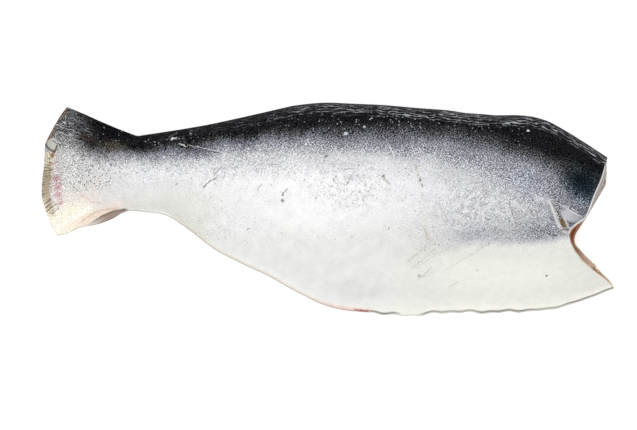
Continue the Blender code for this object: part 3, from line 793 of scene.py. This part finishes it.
def nearest_line(x, y, lines):
    """For every vertex, the signed distance to the nearest line in half widths, and its strength."""
    nearest, side, strength = (np.full(x.shape, value) for value in (LINE_REACH, FAR_OFF, 0.0))
    for *segment, half_width, strongest in lines:
        beside, past_end = off_segment(x, y, *segment)
        distance = np.hypot(beside, past_end)
        chosen = distance < nearest
        nearest = np.where(chosen, distance, nearest)
        side = np.where(chosen, beside / half_width, side)
        strength = np.where(chosen, strongest * fade(1.0, 0.2, past_end), strength)
    return side, strength


def round_body(grid):
    """For every vertex, its X and the length round the body from the back's edge to it."""
    steps = np.linalg.norm(np.diff(grid[..., 1:], axis=1), axis=-1)
    round_it = np.concatenate([np.zeros((len(grid), 1)), np.cumsum(steps, 1)], 1)
    return np.stack([grid[..., 0], round_it - round_it[:, BACK_COLUMN, None], 0 * round_it], -1)


def make_skin(places, turns, shift, materials):
    grid = skin_grid(places, turns)
    columns = grid.shape[1]
    index = numbered(grid.shape[:2])
    closed = places <= VENT
    index[closed, -1] = index[closed, 0]
    faces = grid_faces(index)
    face_row, face_column = np.divmod(np.arange(len(faces)), columns - 1)
    middle_columns = (face_column < 1) | (face_column >= columns - 2)
    cut = middle_columns & (places[face_row] > VENT)
    tail_end = [index[0, :-1].tolist()]
    kinds = np.append(cut.astype(int), 1)
    points = grid.reshape(-1, 3) + shift
    piece = new_piece("fish_skin", points, faces.tolist() + tail_end, materials, kinds)
    x, y = grid[..., 0] / MM, grid[..., 1] / MM
    round_it = round_body(grid)
    add_values(piece, "round_body", round_it)
    add_values(piece, "paint", linear(painted_skin(x, y, x[-1:] - x)))
    for name, values in texture_masks(x, y, x - x[:1], x[-1:] - x, round_it[..., 1] / MM).items():
        add_values(piece, name, values)
    on_top = np.arange(columns) < BACK_COLUMN
    for name, lines in (("dark_line", DARK_LINES), ("pale_line", PALE_LINES)):
        side, strength = nearest_line(x, y, lines)
        add_values(piece, name + "_distance", side)
        add_values(piece, name + "_strength", strength * on_top)
    return piece, grid


def make_inside(places, turns, shift, materials):
    """The belly's lining and the face of the head cut, which meet the skin's last row."""
    lining = lining_points(places[:, None], turns[None, :])
    edges = skin_grid(places, turns)
    lining[:, 0], lining[:, -1] = edges[:, 0], edges[:, -1]
    skin_end = edges[-1]
    depth = np.linspace(0, 1, CUT_ROWS + 1)[:, None] + 0 * turns
    face = head_cut_points(turns[None, :], depth)
    face[0] = skin_end[LIP_POINTS:-LIP_POINTS]
    face[:, 0], face[:, -1] = face[0, 0], face[0, -1]
    lips = np.concatenate([skin_end[: LIP_POINTS + 1], skin_end[-LIP_POINTS - 1 :]])
    points = np.concatenate([lining.reshape(-1, 3), face.reshape(-1, 3), lips])
    lining_index = numbered(lining.shape[:2])
    face_index = numbered(face.shape[:2], lining_index.size)
    lip_index = numbered((len(lips),), lining_index.size + face_index.size)
    lining_faces = grid_faces(lining_index[:, ::-1]).tolist()
    cut_faces = []
    for column, corners in enumerate(grid_faces(face_index).reshape(CUT_ROWS, -1, 4).transpose(1, 0, 2)):
        for a, b, c, d in corners.tolist():
            cut_faces += [(a, b, c), (a, c, d)] if turns[column] < math.pi else [(a, b, d), (b, c, d)]
    upper_lip, lower_lip = np.split(lip_index, 2)
    for lip, slit in ((upper_lip, face_index[-1, 1]), (lower_lip, face_index[-1, -2])):
        cut_faces += [(int(a), int(b), int(slit)) for a, b in zip(lip, lip[1:])]
    kinds = np.repeat((0, 1), (len(lining_faces), len(cut_faces)))
    piece = new_piece("fish_inside", points + shift, lining_faces + cut_faces, materials, kinds)
    depths = (np.ones(lining_index.size), depth.ravel(), np.zeros(len(lips)))
    add_values(piece, "cut_depth", np.concatenate(depths))
    return piece


# ------ materials
RAY_CENTRE = (-158.9 * MM, 26.2 * MM, 0)  # where the bare fin rays fan out from
RAY_DENSITY = 125.0  # radians of a stripe for each radian round the centre
SEAM_SPACING = 3.4 * MM  # between the rings of the cut muscle
DARKEST = 0.05  # the least share of its brightness that a grain leaves a colour


class Signal:
    """What a node puts out. Sums made with it add the nodes that work them out."""

    def __init__(self, socket):
        self.socket = socket
        self.tree = socket.id_data

    def beside(self, output):
        """Another output of the same node."""
        return Signal(self.socket.node.outputs[output])

    def maths(self, operation, second=0.0):
        return add(self.tree, "Math", operation=operation, _0=self, _1=second)

    def __add__(self, other):
        return self.maths("ADD", other)

    def __sub__(self, other):
        return self.maths("SUBTRACT", other)

    def __mul__(self, other):
        return self.maths("MULTIPLY", other)

    def __abs__(self):
        return self.maths("ABSOLUTE")

    def highest(self, other):
        return self.maths("MAXIMUM", other)

    def ramp(self, low, high, low_to=0.0, high_to=1.0):
        """Goes from low_to to high_to as the number goes from low to high."""
        ends = {"From_Min": low, "From_Max": high, "To_Min": low_to, "To_Max": high_to}
        return add(self.tree, "MapRange", Value=self, **ends)

    def blend(self, first, second):
        """The first colour where the number is 0, the second where it is 1."""
        return add(self.tree, "Mix", 2, data_type="RGBA", _0=self, _6=first, _7=second)

    def scaled(self, factor):
        return add(self.tree, "VectorMath", operation="SCALE", _0=self, Scale=factor)

    def axis(self, name):
        return add(self.tree, "SeparateXYZ", name, _0=self)


def feed(node, name, value):
    """Sets an input, given by its name or as _ and its number, to a number, a colour or a signal."""
    socket = node.inputs[int(name[1:])] if name[0] == "_" else node.inputs[name.replace("_", " ")]
    if isinstance(value, Signal):
        node.id_data.links.new(value.socket, socket)
    else:
        socket.default_value = value


def add(tree, kind, output=0, **given):
    """A new node's output. Names in small letters are the node's settings, and the others its inputs."""
    node = tree.nodes.new("ShaderNode" + kind)
    for name, value in given.items():
        if name[0].islower():
            setattr(node, name, value)
        else:
            feed(node, name, value)
    return Signal(node.outputs[output])


def new_material(name):
    made = bpy.data.materials.new(name)
    made.use_nodes = True
    return made, made.node_tree


def finished(made, **inputs):
    """The material, with the inputs of its shader set."""
    for name, value in inputs.items():
        feed(made.node_tree.nodes["Principled BSDF"], name, value)
    return made


def tint(r, g, b):
    return (*linear(rgb(r, g, b)), 1.0)


def attribute(tree, name, output="Fac"):
    return add(tree, "Attribute", output, attribute_name=name)


def places(tree, scale=(1, 1, 1), turn=0):
    """Object coordinates along axes that are turned about Z, in degrees, and then stretched."""
    where = add(tree, "TexCoord", "Object")
    turned = (0, 0, math.radians(turn))
    stretch = [1 / value for value in scale]
    return add(tree, "Mapping", vector_type="TEXTURE", Vector=where, Rotation=turned, Scale=stretch)


def along_back(tree, along, across):
    """Coordinates that follow the back's edge, and run round the body from it."""
    where = attribute(tree, "round_body", "Vector")
    return add(tree, "VectorMath", operation="MULTIPLY", _0=where, _1=(along, across, 1))


def noise(tree, scale=1.0, detail=2.0, where=None, roughness=0.6):
    where = where or places(tree)
    return add(tree, "TexNoise", "Fac", Vector=where, Scale=scale, Detail=detail, Roughness=roughness)


def waves(where, period, direction, distortion, detail_size):
    """Wandering bands, from 0 to 1 and back in each period."""
    scale = math.pi / 10 / period
    return add(
        where.tree, "TexWave", "Fac", bands_direction=direction,
        Vector=where, Scale=scale, Distortion=distortion, Detail=2.0, Detail_Scale=detail_size,
    )


def bump(height, strength, depth):
    """A normal from the height, which is worth the depth in mm."""
    return add(height.tree, "Bump", Strength=strength, Distance=depth * MM, Height=height)


def mottle_group():
    """A node group: uneven colour at two sizes, for skin, flesh, lining and bone alike."""
    group = bpy.data.node_groups.new("mottle", "ShaderNodeTree")
    face = group.interface
    for way in ("INPUT", "OUTPUT"):
        face.new_socket("Colour", in_out=way, socket_type="NodeSocketColor")
    for name in ("Fine size", "Fine amount", "Broad size", "Broad amount"):
        face.new_socket(name, in_out="INPUT", socket_type="NodeSocketFloat")
    face.new_socket("Height", in_out="OUTPUT", socket_type="NodeSocketFloat")
    given, result = group.nodes.new("NodeGroupInput"), group.nodes.new("NodeGroupOutput")
    where = places(group)
    grains = []
    for kind, detail in (("Fine", 1.0), ("Broad", 3.0)):
        scale = add(group, "Math", operation="DIVIDE", _0=1 / MM, _1=Signal(given.outputs[kind + " size"]))
        grain = noise(group, scale, detail, where).ramp(0.4, 0.6, -1, 1)
        grains.append(grain * Signal(given.outputs[kind + " amount"]))
    height = grains[0] + grains[1]
    factor = (height + 1.0).highest(DARKEST)
    feed(result, "Colour", Signal(given.outputs["Colour"]).scaled(factor))
    feed(result, "Height", height)
    return group


def mottled(tree, group, colour, fine_size, fine_amount, broad_size, broad_amount):
    """The colour made uneven, and the height of the unevenness. Sizes in mm."""
    fine = {"Fine_size": fine_size, "Fine_amount": fine_amount}
    broad = {"Broad_size": broad_size, "Broad_amount": broad_amount}
    made = add(tree, "Group", "Colour", node_tree=group, Colour=colour, **fine, **broad)
    return made, made.beside("Height")


def drawn_line(tree, name, wobble):
    """Mask of the thin lines whose distances and strengths the vertices hold."""
    off = abs(attribute(tree, name + "_distance") + wobble)
    return off.ramp(1.0, 0.4) * attribute(tree, name + "_strength")


def dots(tree, scale, share, inner, outer):
    """Round dots in a share of the cells of a random pattern."""
    distance = add(tree, "TexVoronoi", "Distance", Vector=places(tree), Scale=scale)
    chosen = add(tree, "SeparateColor", _0=distance.beside("Color")).maths("LESS_THAN", share)
    return distance.ramp(outer, inner) * chosen


def thin_lines(tree, scale, turn, size, width):
    """Wandering thin lines, where a stretched noise crosses its middle value."""
    value = noise(tree, size, 1.0, places(tree, scale, turn), 0.5)
    return abs(value - 0.5).ramp(width, 0.25 * width)


def crease_glints(tree, period, thinness):
    """Thin wavy crease lines that follow the back's edge, of uneven brightness, for painted highlights and
    the bump.
    """
    lines = waves(along_back(tree, 0.5, 1), period, "Y", 8.0, 2.6).ramp(thinness, 1.0)
    patchy = noise(tree, 1.0, 1.0, along_back(tree, 140, 420)).ramp(0.38, 0.60, 0.15, 1.0)
    clusters = noise(tree, 1.0, 1.0, along_back(tree, 30, 90)).ramp(0.40, 0.58, 0.55, 1.05)
    return (lines * patchy * clusters).maths("MINIMUM", 1.0)


def ray_colour(tree):
    """Bare fin rays that fan out from the tail's root."""
    offset = add(tree, "VectorMath", operation="SUBTRACT", _0=places(tree), _1=RAY_CENTRE)
    up = offset.axis("Y")
    angle = up.maths("ARCTAN2", offset.axis("X") * -1.0)
    stripes = (angle * RAY_DENSITY + noise(tree, 240.0) * 7.0).maths("SINE")
    patchy = noise(tree, 160.0, 3.0)
    brown = abs(up + 8.3 * MM).ramp(13 * MM, 7 * MM) * 0.75 + patchy.ramp(0.5, 0.65, 0, 0.4)
    ray = brown.blend(tint(214, 203, 176), tint(140, 120, 96))
    gaps = stripes.ramp(0.45, 0.9) * patchy.ramp(0.40, 0.55, 0.3, 0.95)
    return gaps.blend(ray, tint(62, 50, 42))


def crossed_grain(tree, colour, amount):
    """Patches of short fine strokes in two directions, which lighten and darken a colour by the amount."""
    one = waves(places(tree, turn=50), 1.55 * MM, "X", 9.0, 1.9)
    other = waves(places(tree, turn=-40), 1.6 * MM, "X", 9.0, 1.9)
    chosen = noise(tree, 420.0, 1.0).ramp(0.46, 0.54)
    strokes = ((other - one) * chosen + one) * 2.0 - 1.0
    return colour.scaled((strokes * amount + 1.0).highest(DARKEST)), strokes


def skin_material(mottle):
    made, tree = new_material("wet_pigmented_skin")
    names = ("speckle", "pepper", "freckles", "glints", "tail_crease_glints", "sparkle", "worms", "hatch", "rays")
    masks = [attribute(tree, name) for name in names]
    speckle, pepper, freckles, glints, tail_crease_glints, sparkle, worms, hatch, rays = masks
    paint = attribute(tree, "paint", "Color")
    brightness = add(tree, "SeparateColor", "Green", _0=paint)
    colour, grain = mottled(tree, mottle, paint, 0.6, speckle * 0.62, 5.0, 0.02)
    colour, strokes = crossed_grain(tree, colour, speckle * 0.62)
    # painted sheen: dark skin is lightened to blue-grey along the strokes of its grain
    sheen = strokes.ramp(0.3, 1.0) * brightness.ramp(0.10, 0.02) * 0.10
    colour = sheen.blend(colour, tint(126, 128, 138))
    # black pigment dots, thickest where the grey thins out
    fine_dots = dots(tree, 720.0, 0.5, 0.28, 0.40) * pepper * 0.95
    sparse_dots = dots(tree, 430.0, 0.14, 0.14, 0.24) * freckles * 0.8
    colour = fine_dots.highest(sparse_dots).blend(colour, tint(34, 36, 42))
    # fine dark wrinkles: short wandering ones, a slanted hatching and long scratches
    broken = noise(tree, 330.0, 1.0).ramp(0.46, 0.54)
    crackle = thin_lines(tree, (1, 1, 1), 0, 540.0, 0.06) * worms * broken * 0.55
    slanted = thin_lines(tree, (0.4, 1.3, 1), 48, 760.0, 0.06) * hatch * broken * 0.55
    scratch = noise(tree, 1.0, 2.0, places(tree, (60, 1300, 60), 40), 0.5).ramp(0.66, 0.71)
    wrinkles = crackle.highest(slanted).highest(scratch * (hatch * 0.3 + 0.08))
    colour = wrinkles.blend(colour, tint(76, 78, 86))
    # painted highlights: pale glints on the creases of the back and tail
    back_crease_glint, tail_crease_glint = crease_glints(tree, 3.0 * MM, 0.62), crease_glints(tree, 2.4 * MM, 0.6)
    back_crease_glint, tail_crease_glint = back_crease_glint * glints, tail_crease_glint * tail_crease_glints
    # painted shade: the band of the glints is darkened first, so that the painted highlights stand out
    colour = (glints * 0.6).highest(tail_crease_glints * 0.4).blend(colour, tint(26, 26, 32))
    colour = (back_crease_glint * 0.85).highest(tail_crease_glint * 1.1).blend(colour, tint(214, 216, 222))
    # painted highlights: sparkles of light as white dots on the black, also raised in the bump
    sparkle_dots = dots(tree, 470.0, 0.5, 0.12, 0.27) * sparkle * 0.95
    colour = sparkle_dots.blend(colour, tint(206, 209, 216))
    # scars, scratches, small dark and pale spots, a painted glint and the dark strokes of the tail's rays
    wobble = noise(tree, 380.0, 1.0).ramp(0.3, 0.7, -0.9, 0.9)
    dark_marks, pale_marks = drawn_line(tree, "dark_line", wobble), drawn_line(tree, "pale_line", wobble)
    colour = (rays * 0.92).blend(colour, ray_colour(tree))
    colour = dark_marks.blend(colour, tint(58, 56, 58))
    colour = pale_marks.blend(colour, tint(232, 232, 236))
    sunk = wrinkles * -0.8 + dark_marks * -1.2
    raised = grain * 0.3 + back_crease_glint * 1.5 + tail_crease_glint + sparkle_dots.highest(pale_marks) * 1.2
    wet = bump(raised + sunk + noise(tree, 240.0, 3.0) * 0.3, 0.6, 0.35)
    return finished(
        made,
        Base_Color=colour,
        Normal=wet,
        Roughness=0.42,
        Specular_IOR_Level=brightness.ramp(0.01, 0.2, 0.015, 0.15),
        Coat_Weight=brightness.ramp(0.0, 0.1, 0.03, 0.08),
        Coat_Roughness=0.2,
        Coat_Normal=wet,
        Coat_IOR=1.34,
    )


def flesh_material(mottle):
    """Cut muscle round the backbone, orange-brown at the notch of the cut and tan along the belly wall."""
    made, tree = new_material("cut_flesh")
    offset = add(tree, "VectorMath", operation="SUBTRACT", _0=places(tree), _1=BACKBONE_CENTRE)
    length = add(tree, "VectorMath", "Value", operation="LENGTH", _0=offset)
    seams = ((length + noise(tree, 90.0) * 0.012) * (2 * math.pi / SEAM_SPACING)).maths("SINE")
    meat = noise(tree, 130.0, 3.0).blend(tint(196, 182, 170), tint(176, 152, 136))
    meat = (seams.ramp(0.72, 0.98) * 0.5).blend(meat, tint(226, 214, 204))
    blood = length.ramp(12 * MM, 5 * MM) * noise(tree, 210.0).ramp(0.45, 0.62) * 0.8
    meat = blood.blend(meat, tint(118, 44, 38))
    inward = attribute(tree, "cut_depth")
    uneven = noise(tree, 150.0).ramp(0.35, 0.65, -3.5 * MM, 3.5 * MM) * inward.ramp(0.1, 0.6)
    across = places(tree).axis("Y") + uneven
    low, fibres = across.ramp(-20 * MM, -26 * MM), noise(tree, 260.0, 3.0)
    notch = fibres.blend(tint(212, 134, 62), tint(166, 94, 34))
    meat = across.ramp(-1 * MM, -8 * MM).blend(meat, notch)
    meat = low.blend(meat, fibres.blend(tint(240, 219, 178), tint(218, 188, 142)))
    under_skin = across.ramp(14 * MM, 20 * MM).blend(tint(172, 167, 160), tint(148, 136, 126))
    under_skin = low.blend(under_skin, tint(250, 236, 212))
    rim = inward.ramp(0.34, 0.16) * across.ramp(-6.5 * MM, -4 * MM).highest(low) * 0.85
    colour, grain = mottled(tree, mottle, rim.blend(meat, under_skin), 1.0, 0.12, 7.0, 0.08)
    return finished(
        made,
        Base_Color=colour,
        Normal=bump(grain + seams, 0.5, 0.4),
        Roughness=0.38,
        Subsurface_Weight=0.06,
        Subsurface_Radius=(0.004, 0.002, 0.001),
        Coat_Weight=0.3,
        Coat_Roughness=0.2,
    )


def lining_material(mottle):
    """The scraped belly wall: tan membrane that darkens to orange-brown under the roof."""
    made, tree = new_material("belly_lining")
    deep = places(tree).axis("Y").ramp(-42 * MM, -18 * MM)
    colour = deep.blend(tint(206, 172, 146), tint(160, 88, 48))
    streaks = noise(tree, 1.0, 3.0, places(tree, (60, 260, 260), -20))
    colour = (streaks.ramp(0.55, 0.7) * 0.4).blend(colour, tint(228, 208, 190))
    colour, grain = mottled(tree, mottle, colour, 1.2, 0.10, 9.0, 0.08)
    relief_normal = bump(grain + streaks, 0.4, 0.5)
    return finished(
        made, Base_Color=colour, Normal=relief_normal, Roughness=0.35, Coat_Weight=0.5, Coat_Roughness=0.15
    )


def slime_material():
    made, tree = new_material("slime_drop")
    milky = noise(tree, 700.0).blend(tint(226, 230, 236), tint(196, 204, 216))
    return finished(
        made, Base_Color=milky, Roughness=0.12, Transmission_Weight=0.35, IOR=1.34, Coat_Weight=0.4
    )


def bone_material(mottle):
    made, tree = new_material("sawn_bone")
    colour, grain = mottled(tree, mottle, tint(214, 200, 184), 0.8, 0.14, 4.0, 0.1)
    return finished(
        made, Base_Color=colour, Normal=bump(grain, 0.5, 0.3), Roughness=0.5, Subsurface_Weight=0.1
    )


# ------ small pieces
DROPS = (  # X, Y, radius, height in mm
    (12.9, 52, 1.6, 0.7), (25, 56.9, 1, 0.5), (139, 54, 1.2, 0.35), (28.7, 61.6, 0.6, 0.4),
    (30.8, 62.4, 0.6, 0.4), (-95.5, 52.4, 0.6, 0.4),
)
DROP_FLATTENING = 0.85
BACKBONE_PROFILE = (  # radius and height in mm of the dished end and its rim
    (0, -3), (5.8, -3), (5.8, 0.5), (5.3, 1.1), (4.2, 1), (2.2, 0.1), (0.8, -0.4), (0, -0.5),
)
BACKBONE_STEPS = 48
SLIVER = ((186.9, -37.9, 9.4), (187.7, -40, 10.2), (188.6, -42.2, 9.8), (190.2, -44.8, 8.8))  # mm
SLIVER_RADIUS = 0.9  # mm
SLIVER_SECTION = (1.0, 0.3, 0.55)  # how far the strand spreads along X, Y and Z
SLIVER_STEPS = 28
SLIVER_SIDES = 10


def make_drops(grid, shift, finish):
    """Low domes of slime on the upper flank."""
    upper = grid[:, LIP_POINTS:BACK_COLUMN].reshape(-1, 3)
    mesh = bmesh.new()
    for x, y, radius, height in DROPS:
        nearest = upper[np.argmin(np.hypot(upper[:, 0] - x * MM, upper[:, 1] - y * MM))]
        made = bmesh.ops.create_uvsphere(mesh, u_segments=20, v_segments=12, radius=1.0)["verts"]
        size = Matrix.Diagonal((radius * MM, radius * MM * DROP_FLATTENING, height * MM, 1))
        bmesh.ops.transform(mesh, matrix=Matrix.Translation(Vector(nearest + shift)) @ size, verts=made)
    data = bpy.data.meshes.new("slime_drops")
    mesh.to_mesh(data)
    mesh.free()
    data.materials.append(finish)
    data.shade_smooth()
    return put_in_scene("slime_drops", data)


def make_backbone(shift, finish):
    """The sawn vertebra: a rim round a dished end."""
    angle = np.linspace(0, 2 * math.pi, BACKBONE_STEPS, endpoint=False)
    x, y = np.cos(angle), np.sin(angle)
    rings = [np.stack([radius * x, radius * y, z + 0 * x], -1) for radius, z in BACKBONE_PROFILE]
    facing = Vector(BACKBONE_FACING).to_track_quat("Z", "Y").to_matrix()
    points = np.array(rings) * MM @ np.array(facing).T + np.array(BACKBONE_CENTRE) + shift
    return ring_piece("backbone_end", points, finish)


def make_sliver(shift, finish):
    """A strand of torn membrane on the lower belly flap."""
    path = np.array(SLIVER) * MM
    t = np.linspace(0, 1, SLIVER_STEPS)
    centre = np.stack([np.interp(t, np.linspace(0, 1, len(path)), values) for values in path.T], -1)
    width = SLIVER_RADIUS * MM * np.sqrt(np.sin(math.pi * np.clip(t, 0.02, 0.98)))
    angle = np.linspace(0, 2 * math.pi, SLIVER_SIDES, endpoint=False)
    ring = np.stack([np.cos(angle), np.cos(angle), np.sin(angle)], -1) * SLIVER_SECTION
    return ring_piece("membrane_sliver", centre[:, None] + width[:, None, None] * ring + shift, finish)


# ------ stage, light and camera
IMAGE_WIDTH = 0.4459  # metres across the photo at the height of the fish's outline
IMAGE_CENTRE = (-6.65 * MM, -3.85 * MM)
OUTLINE_HEIGHT = 18 * MM
CAMERA_HEIGHT = 4.0
SENSOR_WIDTH = 36.0
FLOOR_SIZE = 3.0
LIGHTS = (  # name, place and size in metres, power in watts
    ("softbox_over_the_back", (0.35, 0.75, 1.5), (1.1, 0.9), 9.0),
    ("softbox_overhead", (-0.2, -0.35, 1.8), (1.6, 1.2), 15.0),
)


def make_floor():
    half = FLOOR_SIZE / 2
    corners = np.array(((-half, -half, 0), (half, -half, 0), (half, half, 0), (-half, half, 0)))
    made, tree = new_material("white_table")
    seen = add(tree, "LightPath", "Is Camera Ray")
    colour = seen.blend(tint(196, 196, 196), tint(252, 252, 252))
    finished(
        made,
        Base_Color=colour,
        Roughness=0.7,
        Specular_IOR_Level=0.1,
        Emission_Color=(1, 1, 1, 1),
        Emission_Strength=seen * 0.38,
    )
    floor = new_piece("table", corners, [(0, 1, 2, 3)], [made])


def make_world():
    world = bpy.data.worlds.new("pale_room")
    bpy.context.scene.world = world
    world.use_nodes = True
    height = add(world.node_tree, "TexCoord", "Generated").axis("Z").ramp(0.0, 0.9)
    background = world.node_tree.nodes["Background"]
    feed(background, "Color", height.blend((0.22, 0.22, 0.23, 1), (0.95, 0.95, 0.95, 1)))
    feed(background, "Strength", 0.8)


def add_light(name, place, size, power):
    """A rectangular softbox that faces the middle of the fish."""
    data = bpy.data.lights.new(name, "AREA")
    data.shape, data.size, data.size_y = "RECTANGLE", *size
    data.energy = power
    light = put_in_scene(name, data)
    light.location = place
    light.rotation_euler = (-Vector(place)).to_track_quat("-Z", "Y").to_euler()


def make_camera():
    data = bpy.data.cameras.new("camera")
    data.sensor_fit, data.sensor_width = "HORIZONTAL", SENSOR_WIDTH
    data.lens = SENSOR_WIDTH * (CAMERA_HEIGHT - OUTLINE_HEIGHT) / IMAGE_WIDTH
    data.clip_end = 20.0
    camera = put_in_scene("camera", data)
    camera.location = (*IMAGE_CENTRE, CAMERA_HEIGHT)
    bpy.context.scene.camera = camera


def main():
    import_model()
    low = np.array(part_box("headless_pangasius")[0])
    turns = girth_turns()
    rows = spread(ROWS)
    shift = low - skin_grid(rows, turns).min((0, 1))

    mottle = mottle_group()
    skin, flesh, lining = skin_material(mottle), flesh_material(mottle), lining_material(mottle)
    fish, grid = make_skin(rows, turns, shift, [skin, flesh])
    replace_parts(dress(fish), "headless_pangasius")
    inside_rows = np.linspace(LINING_FROM, 1, LINING_ROWS)
    dress(make_inside(inside_rows, turns, shift, [lining, flesh]))
    dress(make_drops(grid, shift, slime_material()))
    dress(make_backbone(shift, bone_material(mottle)))
    dress(make_sliver(shift, flesh))

    make_floor()
    make_world()
    for light in LIGHTS:
        add_light(*light)
    make_camera()
    bpy.context.scene.view_settings.view_transform = "Standard"
    bpy.context.scene.view_settings.look = "None"


main()
